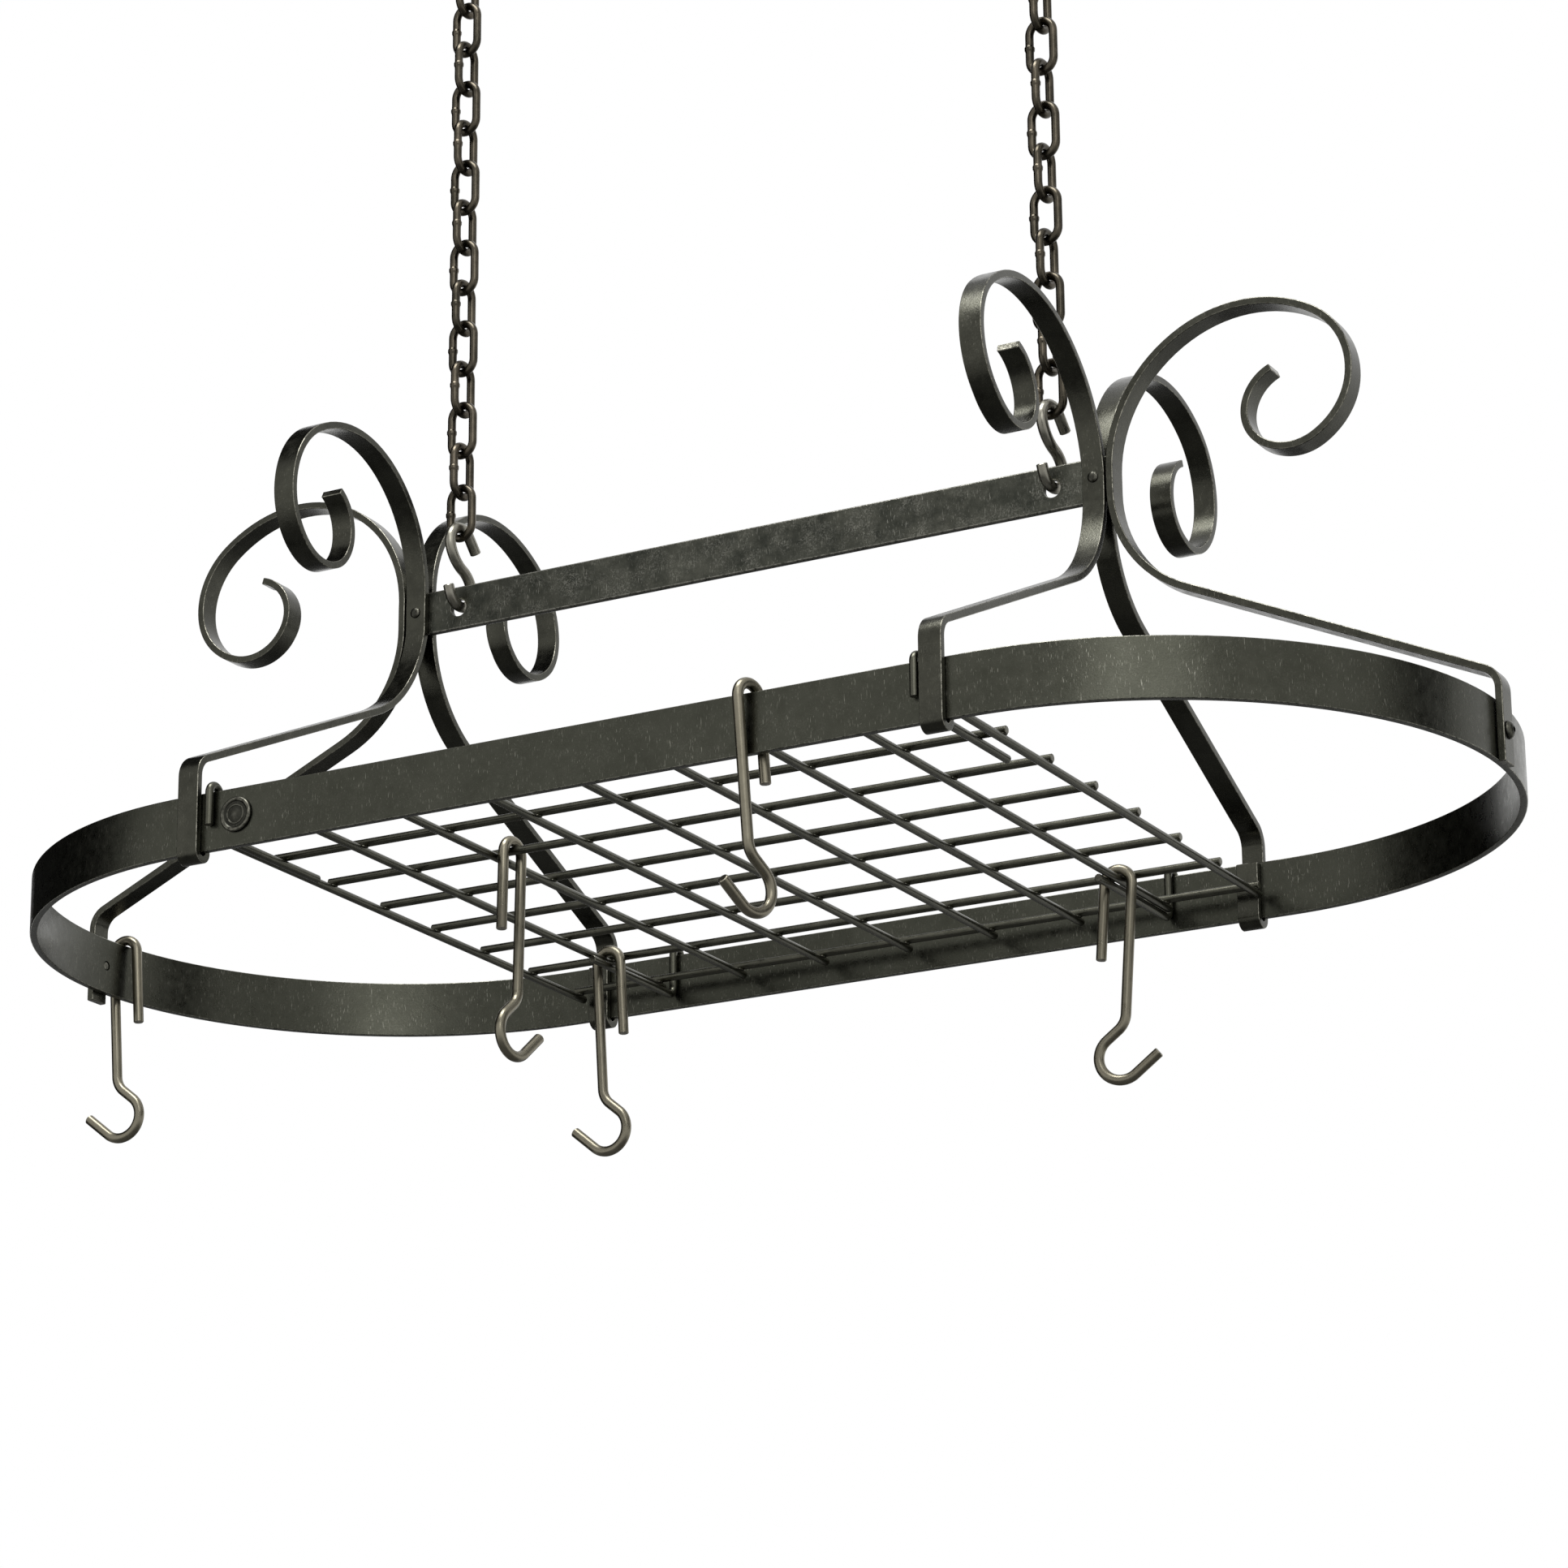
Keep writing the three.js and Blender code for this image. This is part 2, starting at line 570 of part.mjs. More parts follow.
// Bends an S-hook from its lower tip, which flares out, through the bar's hole, up a waist that swings back
// over the bar, and over the top to the upper tip. Also gives the height of the top.
function bendSHook() {
  const flare = degrees(S_HOOK_LOWER_FLARE_DEGREES);
  const tipX = -S_HOOK_LOWER_RADIUS * Math.cos(flare) - S_HOOK_LOWER_TIP * Math.sin(flare);
  const tipRise = S_HOOK_LOWER_RADIUS * (1 - Math.sin(flare)) + S_HOOK_LOWER_TIP * Math.cos(flare);
  const leanAtTop = S_HOOK_LEAN_DEGREES + S_HOOK_LOWER_WAIST_DEGREES - S_HOOK_UPPER_WAIST_DEGREES;
  const bender = new Bender(tipX, sHookLowest + tipRise, S_HOOK_LOWER_FLARE_DEGREES - 90);
  bender.run(S_HOOK_LOWER_TIP);
  bender.bend(S_HOOK_LOWER_RADIUS, 180 - S_HOOK_LOWER_FLARE_DEGREES + S_HOOK_LEAN_DEGREES);
  bender.bend(S_HOOK_LOWER_WAIST_RADIUS, S_HOOK_LOWER_WAIST_DEGREES);
  bender.bend(S_HOOK_UPPER_WAIST_RADIUS, -S_HOOK_UPPER_WAIST_DEGREES);
  bender.bend(S_HOOK_UPPER_RADIUS, -90 - leanAtTop);
  const top = bender.z;
  bender.bend(S_HOOK_UPPER_RADIUS, S_HOOK_UPPER_FLARE_DEGREES - 90).run(S_HOOK_UPPER_TIP);
  return { bender, top };
}

function makeSHook(name, x, turnDegrees) {
  const hook = sweep(bendSHook().bender, roundSection(S_HOOK_DIAMETER));
  place(name, hook, finishes.chain(), [x, 0, 0], turnDegrees);
}

const linkRadius = LINK_WIRE_DIAMETER / 2;
const linkPitch = LINK_INNER_LENGTH - SEAT_GAP;
const firstLinkLowest = bendSHook().top - sHookRadius - SEAT_GAP - linkRadius;
const linkHeight = LINK_INNER_LENGTH + LINK_WIRE_DIAMETER;
const lastLinkHighest = firstLinkLowest + (LINK_COUNT - 1) * linkPitch + linkHeight;

// A link's centre line in the local XZ plane, starting at the middle of its lower end.
function linkCurve() {
  const radius = (LINK_OUTER_WIDTH - LINK_WIRE_DIAMETER) / 2;
  const arc = (centreHeight, from, sweepAngle) =>
    Object.assign(new THREE.Curve(), {
      getPoint(t, target = new THREE.Vector3()) {
        const angle = from + t * sweepAngle;
        return target.set(radius * Math.cos(angle), 0, centreHeight + radius * Math.sin(angle));
      },
    });
  const lower = radius;
  const upper = linkHeight - radius;
  const curve = new THREE.CurvePath();
  curve.add(arc(lower, -Math.PI / 2, Math.PI / 2));
  curve.add(new THREE.LineCurve3(new THREE.Vector3(radius, 0, lower), new THREE.Vector3(radius, 0, upper)));
  curve.add(arc(upper, 0, Math.PI));
  curve.add(new THREE.LineCurve3(new THREE.Vector3(-radius, 0, upper), new THREE.Vector3(-radius, 0, lower)));
  curve.add(arc(lower, Math.PI, Math.PI / 2));
  return curve;
}

function makeChain(side, x) {
  for (let index = 0; index < LINK_COUNT; index += 1) {
    const link = new THREE.TubeGeometry(linkCurve(), LINK_STEPS, linkRadius, LINK_SIDES, true);
    const name = `link_${side}_${String(index + 1).padStart(2, '0')}`;
    const height = firstLinkLowest + index * linkPitch;
    place(name, link, finishes.chain(), [x, 0, height], LINK_TURN + 90 * (index % 2));
  }
}

const ceilingHookRadius = CEILING_HOOK_DIAMETER / 2;
const ceilingHookLowest = lastLinkHighest - linkRadius - SEAT_GAP - ceilingHookRadius;

// A round hook that bends back under its screw and carries a plate; the screw's plain core stands above it.
function ceilingHookPath() {
  const tip = degrees(CEILING_HOOK_TIP_DEGREES);
  const startX = CEILING_HOOK_RADIUS * Math.cos(tip);
  const startZ = ceilingHookLowest + CEILING_HOOK_RADIUS * (1 + Math.sin(tip));
  const bender = new Bender(startX, startZ, CEILING_HOOK_TIP_DEGREES - 90);
  bender.bend(CEILING_HOOK_RADIUS, -240 - CEILING_HOOK_TIP_DEGREES).bend(CEILING_HOOK_RADIUS, 60);
  return bender.run(CEILING_HOOK_SHANK);
}

const ceilingPlateLowest = ceilingHookPath().z - CEILING_PLATE_THICKNESS / 2;
const ceilingHeight = ceilingPlateLowest + CEILING_PLATE_THICKNESS;

function makeCeilingHook(name, x) {
  const plateRadius = CEILING_PLATE_DIAMETER / 2;
  const screwRadius = CEILING_SCREW_DIAMETER / 2;
  const profile = [
    [0, 0],
    [plateRadius - 1, 0],
    [plateRadius, 1],
    [plateRadius, CEILING_PLATE_THICKNESS],
    [screwRadius, CEILING_PLATE_THICKNESS],
    [screwRadius, CEILING_PLATE_THICKNESS + 0.75 * CEILING_SCREW_LENGTH],
    [0, CEILING_PLATE_THICKNESS + CEILING_SCREW_LENGTH],
  ].map(([radius, height]) => new THREE.Vector2(radius, height));
  const plate = new THREE.LatheGeometry(profile, HOLE_SIDES).rotateX(Math.PI / 2);
  plate.translate(0, 0, ceilingPlateLowest);
  const hook = join(sweep(ceilingHookPath(), roundSection(CEILING_HOOK_DIAMETER)), plate);
  place(name, hook, finishes.chain(), [x, 0, 0]);
}

// ---- The whole rack ------------------------------------------------------------------------------------

makeBand();
makeBadge();
makeSideStrap(
  'strap_front_left',
  -strapCentreX,
  -90,
  FRONT_LEFT_LEAN,
  FRONT_LEFT_SWAY_DEGREES,
  FRONT_LEFT_FIRST_DEGREES,
);
makeSideStrap(
  'strap_front_right',
  strapCentreX,
  -90,
  FRONT_RIGHT_LEAN,
  FRONT_RIGHT_SWAY_DEGREES,
  FRONT_RIGHT_FIRST_DEGREES,
);
makeSideStrap(
  'strap_back_left',
  -strapCentreX,
  90,
  -BACK_LEFT_LEAN,
  -BACK_LEFT_SWAY_DEGREES,
  BACK_LEFT_FIRST_DEGREES,
);
makeSideStrap(
  'strap_back_right',
  strapCentreX,
  90,
  -BACK_RIGHT_LEAN,
  -BACK_RIGHT_SWAY_DEGREES,
  BACK_RIGHT_FIRST_DEGREES,
);
makeEndStrap('strap_end_left', LEFT_FOOT_HEIGHT, 180, -LEFT_END_SWAY_DEGREES, LEFT_END_FIRST_DEGREES);
makeEndStrap('strap_end_right', RIGHT_FOOT_HEIGHT, 0, RIGHT_END_SWAY_DEGREES, RIGHT_END_FIRST_DEGREES);
makeCrossbar();
makeRivet('rivet_left', -strapCentreX);
makeRivet('rivet_right', strapCentreX);
makeEndScrew('end_screw_left', -1);
makeEndScrew('end_screw_right', 1);
makeGrid();
makeGridHook('grid_hook_front_left', FRONT_LEFT_ROD_OFFSET - firstCrossWire, -90, frontRodHeight);
makeGridHook('grid_hook_front_right', strapCentreX - FRONT_RIGHT_HOOK_INSET, -90, frontRodHeight);
makeGridHook('grid_hook_back_left', BACK_ROD_OFFSET - hookWireX, 90, backRodHeight);
makeGridHook('grid_hook_back_right', hookWireX - BACK_ROD_OFFSET, 90, backRodHeight);
makePotHooks();
makeSHook('s_hook_left', -barHoleX, LEFT_S_HOOK_TURN);
makeSHook('s_hook_right', barHoleX, RIGHT_S_HOOK_TURN);
makeChain('left', -barHoleX);
makeChain('right', barHoleX);
makeCeilingHook('ceiling_hook_left', -barHoleX);
makeCeilingHook('ceiling_hook_right', barHoleX);

rack.position.z = -ceilingHeight;
rack.updateMatrixWorld(true);

export default rack;
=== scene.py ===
import json
import math

import bmesh
import bpy
from mathutils import Matrix, Vector


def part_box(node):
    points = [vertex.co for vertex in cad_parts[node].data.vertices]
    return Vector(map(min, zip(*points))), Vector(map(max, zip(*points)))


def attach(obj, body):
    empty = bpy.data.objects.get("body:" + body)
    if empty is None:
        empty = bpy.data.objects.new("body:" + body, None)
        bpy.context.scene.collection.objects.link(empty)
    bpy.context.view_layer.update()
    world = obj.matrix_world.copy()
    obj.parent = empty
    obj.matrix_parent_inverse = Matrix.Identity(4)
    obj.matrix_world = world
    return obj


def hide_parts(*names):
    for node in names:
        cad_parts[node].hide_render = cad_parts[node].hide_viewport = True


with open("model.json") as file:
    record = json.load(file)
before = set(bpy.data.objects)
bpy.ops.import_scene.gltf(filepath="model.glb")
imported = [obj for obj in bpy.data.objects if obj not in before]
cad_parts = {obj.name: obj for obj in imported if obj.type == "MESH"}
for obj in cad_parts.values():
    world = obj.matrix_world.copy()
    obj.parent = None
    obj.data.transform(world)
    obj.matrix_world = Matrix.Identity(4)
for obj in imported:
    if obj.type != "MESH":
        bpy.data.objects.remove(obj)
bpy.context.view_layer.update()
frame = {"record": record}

MM = 0.001
CEILING_HEIGHT = -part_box("ring")[0].z / MM

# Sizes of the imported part
BAND_LENGTH = 851.0
BAND_WIDTH = 397.4
BAND_HEIGHT = 31.75
BAND_THICKNESS = 4.0
STRAP_WIDTH = 12.7
STRAP_THICKNESS = 4.0
STRAP_X = 210.7
SIDE_GAP = 0.35
SEAT_GAP = 0.3
BAR_AXIS = 190.5
BAR_HEIGHT = 25.0
BAR_THICKNESS = 4.0
END_POST = 220.1
BAR_HOLE_X = 184.8
BAR_HOLE_RADIUS = 5.0
RIVET_RADIUS = 1.8
SCREW_RADIUS = 2.5
SCREW_HEIGHT = 15.875
HOLE_CLEARANCE = 0.3
HALF_WIDTH = BAND_WIDTH / 2
HALF_LENGTH = BAND_LENGTH / 2
STRAIGHT_HALF = HALF_LENGTH - HALF_WIDTH
LEG_OFFSET = SIDE_GAP + STRAP_THICKNESS / 2
SIDE_POST = BAR_THICKNESS / 2 + SEAT_GAP + STRAP_THICKNESS / 2

# How finely the forms are made
BEND_STEP = 4.0
BAND_STEP = 2.5
LONGEST_STEP = 30
ROD_SIDES = 20
HOOK_SIDES = 24
CUTTER_SIDES = 32
EDGE_RADIUS = 0.55
BAR_EDGE_RADIUS = 1.0
SHARPEST_CORNER = 0.12
EDGE_POINTS = 4
END_CHAMFER = 0.35
HOOK_CHAMFER = 0.45
CHAMFER_RUN = 1.6
JUNCTION = 1.0
SHARP_ANGLE = math.radians(38)


def add_object(name, data):
    thing = bpy.data.objects.new(name, data)
    bpy.context.scene.collection.objects.link(thing)
    return thing


# ---- Camera ------------------------------------------------------------------------------------

# Lengths here are in metres and angles in radians.
CAMERA_PLACE = Vector((1.23196, -2.22299, -1.37479))
CAMERA_YAW = 0.49871
CAMERA_PITCH = 0.30948
CAMERA_ROLL = -0.00911
CAMERA_CLIP = (0.05, 50)
FOCAL_PIXELS = 6126.6
IMAGE_PIXELS = 1932
SENSOR = 36.0  # millimetres


def make_camera():
    """The photograph's camera: below the rack and to its front right, with a long lens."""
    data = bpy.data.cameras.new("camera")
    data.sensor_width = SENSOR
    data.lens = FOCAL_PIXELS / IMAGE_PIXELS * SENSOR
    data.clip_start, data.clip_end = CAMERA_CLIP
    ahead = Vector((
        -math.sin(CAMERA_YAW) * math.cos(CAMERA_PITCH),
        math.cos(CAMERA_YAW) * math.cos(CAMERA_PITCH),
        math.sin(CAMERA_PITCH),
    ))
    level = Vector((math.cos(CAMERA_YAW), math.sin(CAMERA_YAW), 0))
    upright = level.cross(ahead)
    right = math.cos(CAMERA_ROLL) * level + math.sin(CAMERA_ROLL) * upright
    up = -math.sin(CAMERA_ROLL) * level + math.cos(CAMERA_ROLL) * upright
    camera = add_object("camera", data)
    turn = Matrix((right, up, -ahead)).transposed().to_4x4()
    camera.matrix_world = Matrix.Translation(CAMERA_PLACE) @ turn
    bpy.context.scene.camera = camera


make_camera()
bpy.context.scene.view_settings.view_transform = "Standard"

# ---- Materials ---------------------------------------------------------------------------------

# Noise cells to a metre, from broad clouds to the finest grain
MOTTLE_SCALE = 38.0
RUBBED_SCALE = 60.0
PATCH_SCALE = 95.0
CLOUD_SCALE = 190.0
BROKEN_SCALE = 420.0
GRAIN_SCALE = 900.0
GRIT_SCALE = 1250.0
FINE_SCALE = 1900.0
DRAWN_SCALE = (1500, 1500, 45)
# Each set of scratches: how it is turned, and its noise cells to a metre
SCRATCH_SETS = (
    ((0, 9, 0), (2300, 2300, 230)),
    ((0, 78, 12), (2100, 2100, 190)),
    ((35, -30, 0), (2500, 2500, 300)),
)
SMOOTHER_WHERE_WORN = 0.08
# The mix node's sockets for colours
FIRST_COLOUR, SECOND_COLOUR, MIXED_COLOUR = 6, 7, 2


class Nodes:
    """The node tree of a material or world, with short ways to add and join nodes."""

    def __init__(self, owner):
        owner.use_nodes = True
        self.owner = owner
        self.tree = owner.node_tree
        self.tree.nodes.clear()

    def add(self, kind, **values):
        node = self.tree.nodes.new(kind)
        for key, value in values.items():
            setattr(node, key, value)
        return node

    def join(self, source, target):
        self.tree.links.new(source, target)

    def noise(self, coordinates, scale, detail=3.0, roughness=0.55):
        node = self.add("ShaderNodeTexNoise")
        node.inputs["Scale"].default_value = scale
        node.inputs["Detail"].default_value = detail
        node.inputs["Roughness"].default_value = roughness
        self.join(coordinates, node.inputs["Vector"])
        return node.outputs["Fac"]

    def stretched(self, coordinates, scale, turn=(0, 0, 0)):
        node = self.add("ShaderNodeMapping")
        node.inputs["Scale"].default_value = scale
        node.inputs["Rotation"].default_value = [math.radians(angle) for angle in turn]
        self.join(coordinates, node.inputs["Vector"])
        return node.outputs["Vector"]

    def between(self, value, low, high, to_low=0.0, to_high=1.0):
        node = self.add("ShaderNodeMapRange")
        numbers = {"From Min": low, "From Max": high, "To Min": to_low, "To Max": to_high}
        for socket, number in numbers.items():
            node.inputs[socket].default_value = number
        self.join(value, node.inputs["Value"])
        return node.outputs["Result"]

    def math(self, operation, first, second):
        clamped = operation != "SUBTRACT"
        node = self.add("ShaderNodeMath", operation=operation, use_clamp=clamped)
        for index, value in enumerate((first, second)):
            if isinstance(value, float):
                node.inputs[index].default_value = value
            else:
                self.join(value, node.inputs[index])
        return node.outputs["Value"]

    def weigh(self, first, second, share):
        """The first value by its share, and the second by the rest."""
        return self.math("ADD", self.math("MULTIPLY", first, share),
                         self.math("MULTIPLY", second, 1 - share))

    def blend(self, factor, first, second):
        node = self.add("ShaderNodeMix", data_type="RGBA")
        self.join(factor, node.inputs["Factor"])
        for index, value in ((FIRST_COLOUR, first), (SECOND_COLOUR, second)):
            if isinstance(value, tuple):
                node.inputs[index].default_value = (*value, 1.0)
            else:
                self.join(value, node.inputs[index])
        return node.outputs[MIXED_COLOUR]

    def mix_shaders(self, factor, first, second):
        node = self.add("ShaderNodeMixShader")
        for index, value in enumerate((factor, first, second)):
            self.join(value, node.inputs[index])
        return node.outputs["Shader"]

    def finish(self, kind, shader):
        """Joins the shader to an output node of that kind, and gives back the material or world."""
        self.join(shader, self.add(kind).inputs["Surface"])
        return self.owner


def steel(name, dark, light, worn, roughness, peel, wear_and_highlight, scratches, scuffs, streaks=0.0):
    """A steel finish: two mottled tones, a peened or drawn surface, short scratches and specks,
    dusty scuffs, and brighter metal on worn edges and cut ends, which on the edges is also a painted
    highlight."""
    nodes = Nodes(bpy.data.materials.new(name))
    place = nodes.add("ShaderNodeTexCoord").outputs["Object"]
    mottle = nodes.noise(place, MOTTLE_SCALE, detail=4.0, roughness=0.6)
    cloud = nodes.noise(place, CLOUD_SCALE, detail=3.0, roughness=0.6)
    grain = nodes.noise(place, GRAIN_SCALE, detail=2.0, roughness=0.55)
    fine = nodes.noise(place, FINE_SCALE, detail=2.0, roughness=0.5)
    tone = nodes.between(nodes.weigh(mottle, cloud, share=0.6), low=0.38, high=0.62)
    colour = nodes.blend(tone, dark, light)

    # Dusty scuffs: a fine grit that shows in patches
    grit = nodes.between(nodes.noise(place, GRIT_SCALE, detail=3.0, roughness=0.7),
                         low=0.47, high=0.68)
    rubbed = nodes.between(nodes.noise(place, RUBBED_SCALE, detail=5.0, roughness=0.65),
                           low=0.45, high=0.62)
    dusty = nodes.math("MULTIPLY", nodes.math("MULTIPLY", grit, rubbed), scuffs)
    colour = nodes.blend(dusty, colour, worn)

    # Short scratches in three directions, and specks where the oil has worn through
    marks = nodes.between(fine, low=0.70, high=0.77)
    for turn, scale in SCRATCH_SETS:
        lines = nodes.noise(nodes.stretched(place, scale, turn), 1.0, detail=1.0, roughness=0.4)
        marks = nodes.math("MAXIMUM", marks, nodes.between(lines, low=0.71, high=0.76))
    patches = nodes.between(nodes.noise(place, PATCH_SCALE, detail=2.0),
                            low=0.42, high=0.62, to_low=0.25)
    marks = nodes.math("MULTIPLY", nodes.math("MULTIPLY", marks, patches), scratches)
    colour = nodes.blend(marks, colour, worn)

    # Lengthwise drawing lines, where the rod was drawn and brushed
    if streaks:
        drawn = nodes.noise(nodes.stretched(place, DRAWN_SCALE), 1.0, detail=2.0, roughness=0.6)
        strength = nodes.between(drawn, low=0.35, high=0.65, to_high=streaks)
        colour = nodes.blend(strength, colour, worn)

    # Edges and cut ends, where the mesh says so, in lighter worn metal with the wear broken up;
    # on the edges this lighter colour is also a painted highlight
    edge = nodes.add("ShaderNodeAttribute", attribute_name="wear_and_highlight").outputs["Fac"]
    broken = nodes.between(nodes.noise(place, BROKEN_SCALE, detail=3.0, roughness=0.7),
                           low=0.34, high=0.62)
    edge = nodes.math("MULTIPLY", nodes.math("MULTIPLY", edge, broken), wear_and_highlight)
    colour = nodes.blend(edge, colour, worn)

    shine = nodes.add("ShaderNodeBsdfPrincipled")
    shine.inputs["Metallic"].default_value = 1.0
    nodes.join(colour, shine.inputs["Base Color"])
    rough = nodes.between(cloud, low=0.3, high=0.7,
                          to_low=roughness - 0.04, to_high=roughness + 0.06)
    smoother = nodes.math("MULTIPLY", edge, SMOOTHER_WHERE_WORN)
    nodes.join(nodes.math("SUBTRACT", rough, smoother), shine.inputs["Roughness"])

    bump = nodes.add("ShaderNodeBump")
    bump.inputs["Strength"].default_value = 1.0
    bump.inputs["Distance"].default_value = peel * MM
    nodes.join(nodes.weigh(grain, fine, share=0.75), bump.inputs["Height"])
    nodes.join(bump.outputs["Normal"], shine.inputs["Normal"])
    return nodes.finish("ShaderNodeOutputMaterial", shine.outputs["BSDF"])


FINISHES = {
    "band_steel": steel(
        "peened_band_steel",
        dark=(0.046, 0.047, 0.0365), light=(0.058, 0.059, 0.0465), worn=(0.30, 0.295, 0.25),
        roughness=0.29, peel=0.07, wear_and_highlight=0.9, scratches=0.65, scuffs=0.07),
    # The bar's edges get the strongest lightening: worn metal, and a painted highlight along them.
    "bar_steel": steel(
        "scuffed_bar_steel",
        dark=(0.030, 0.032, 0.026), light=(0.068, 0.069, 0.056), worn=(0.28, 0.275, 0.24),
        roughness=0.36, peel=0.16, wear_and_highlight=1.6, scratches=0.8, scuffs=0.48),
    "strap_steel": steel(
        "oiled_strap_steel",
        dark=(0.040, 0.040, 0.032), light=(0.058, 0.058, 0.046), worn=(0.32, 0.31, 0.26),
        roughness=0.25, peel=0.06, wear_and_highlight=0.7, scratches=0.3, scuffs=0.08),
    "wire_steel": steel(
        "dark_wire_steel",
        dark=(0.060, 0.060, 0.047), light=(0.090, 0.089, 0.070), worn=(0.24, 0.23, 0.19),
        roughness=0.29, peel=0.03, wear_and_highlight=0.5, scratches=0.2, scuffs=0.05),
    "hook_steel": steel(
        "brushed_hook_steel",
        dark=(0.165, 0.152, 0.114), light=(0.205, 0.189, 0.143), worn=(0.40, 0.375, 0.31),
        roughness=0.30, peel=0.0012, wear_and_highlight=0.8, scratches=0.05, scuffs=0.01, streaks=0.06),
    "s_hook_steel": steel(
        "brushed_s_hook_steel",
        dark=(0.20, 0.192, 0.16), light=(0.27, 0.26, 0.22), worn=(0.44, 0.42, 0.36),
        roughness=0.29, peel=0.002, wear_and_highlight=0.8, scratches=0.06, scuffs=0.02, streaks=0.06),
    "chain_steel": steel(
        "bronzed_chain_steel",
        dark=(0.040, 0.036, 0.027), light=(0.088, 0.076, 0.057), worn=(0.30, 0.27, 0.22),
        roughness=0.27, peel=0.03, wear_and_highlight=0.6, scratches=0.3, scuffs=0.08),
    "fastener_steel": steel(
        "black_fastener_steel",
        dark=(0.018, 0.018, 0.015), light=(0.034, 0.034, 0.028), worn=(0.20, 0.195, 0.16),
        roughness=0.32, peel=0.03, wear_and_highlight=0.6, scratches=0.2, scuffs=0.05),
}

# ---- Mesh building -----------------------------------------------------------------------------


class Bender:
    """A bar bent in the local XZ plane by runs and bends; a positive turn is anticlockwise."""

    def __init__(self, x, z, heading):
        self.x, self.z, self.heading = x, z, math.radians(heading)
        self.samples = []
        self.mark()

    def mark(self):
        self.samples.append((self.x, self.z, self.heading))

    def step(self, length):
        self.x += length * math.cos(self.heading)
        self.z += length * math.sin(self.heading)
        self.mark()

    def run(self, length):
        """A straight run, with a sample close to each end so that the bends shade evenly."""
        if length > 3 * JUNCTION:
            self.step(JUNCTION)
            parts = max(1, round((length - 2 * JUNCTION) / LONGEST_STEP))
            for _ in range(parts):
                self.step((length - 2 * JUNCTION) / parts)
            self.step(JUNCTION)
        else:
            self.step(length)
        return self

    def bend(self, radius, turn):
        steps = max(2, round(abs(turn) / BEND_STEP))
        angle = math.radians(turn) / steps
        chord = 2 * radius * math.sin(abs(angle) / 2)
        for _ in range(steps):
            self.x += chord * math.cos(self.heading + angle / 2)
            self.z += chord * math.sin(self.heading + angle / 2)
            self.heading += angle
            self.mark()
        return self

    def frames(self):
        """(centre, across, outwards) at each sample: the axes that a section is laid out on."""
        return [
            (Vector((x, 0, z)), Vector((0, 1, 0)),
             Vector((-math.sin(heading), 0, math.cos(heading))))
            for x, z, heading in self.samples
        ]


def round_section(diameter, sides=ROD_SIDES):
    def points(inset):
        radius = diameter / 2 - inset
        turn = 2 * math.pi / sides
        return [(radius * math.cos(k * turn), radius * math.sin(k * turn), 0.0)
                for k in range(sides)]
    return points


def flat_section(width, thickness, corner=EDGE_RADIUS):
    """A flat bar's section with eased edges; the third number says how much worn metal and painted
    edge highlight the point gets.
    """
    def points(inset):
        radius = max(corner - inset, SHARPEST_CORNER)
        half = (width / 2 - inset - radius, thickness / 2 - inset - radius)
        found = []
        for quarter, (side, face) in enumerate(((1, 1), (-1, 1), (-1, -1), (1, -1))):
            for k in range(EDGE_POINTS):
                angle = math.pi / 2 * (quarter + k / (EDGE_POINTS - 1))
                wear_and_highlight = 0.0 if k in (0, EDGE_POINTS - 1) else 1.0
                found.append((side * half[0] + radius * math.cos(angle),
                              face * half[1] + radius * math.sin(angle), wear_and_highlight))
        return found
    return points


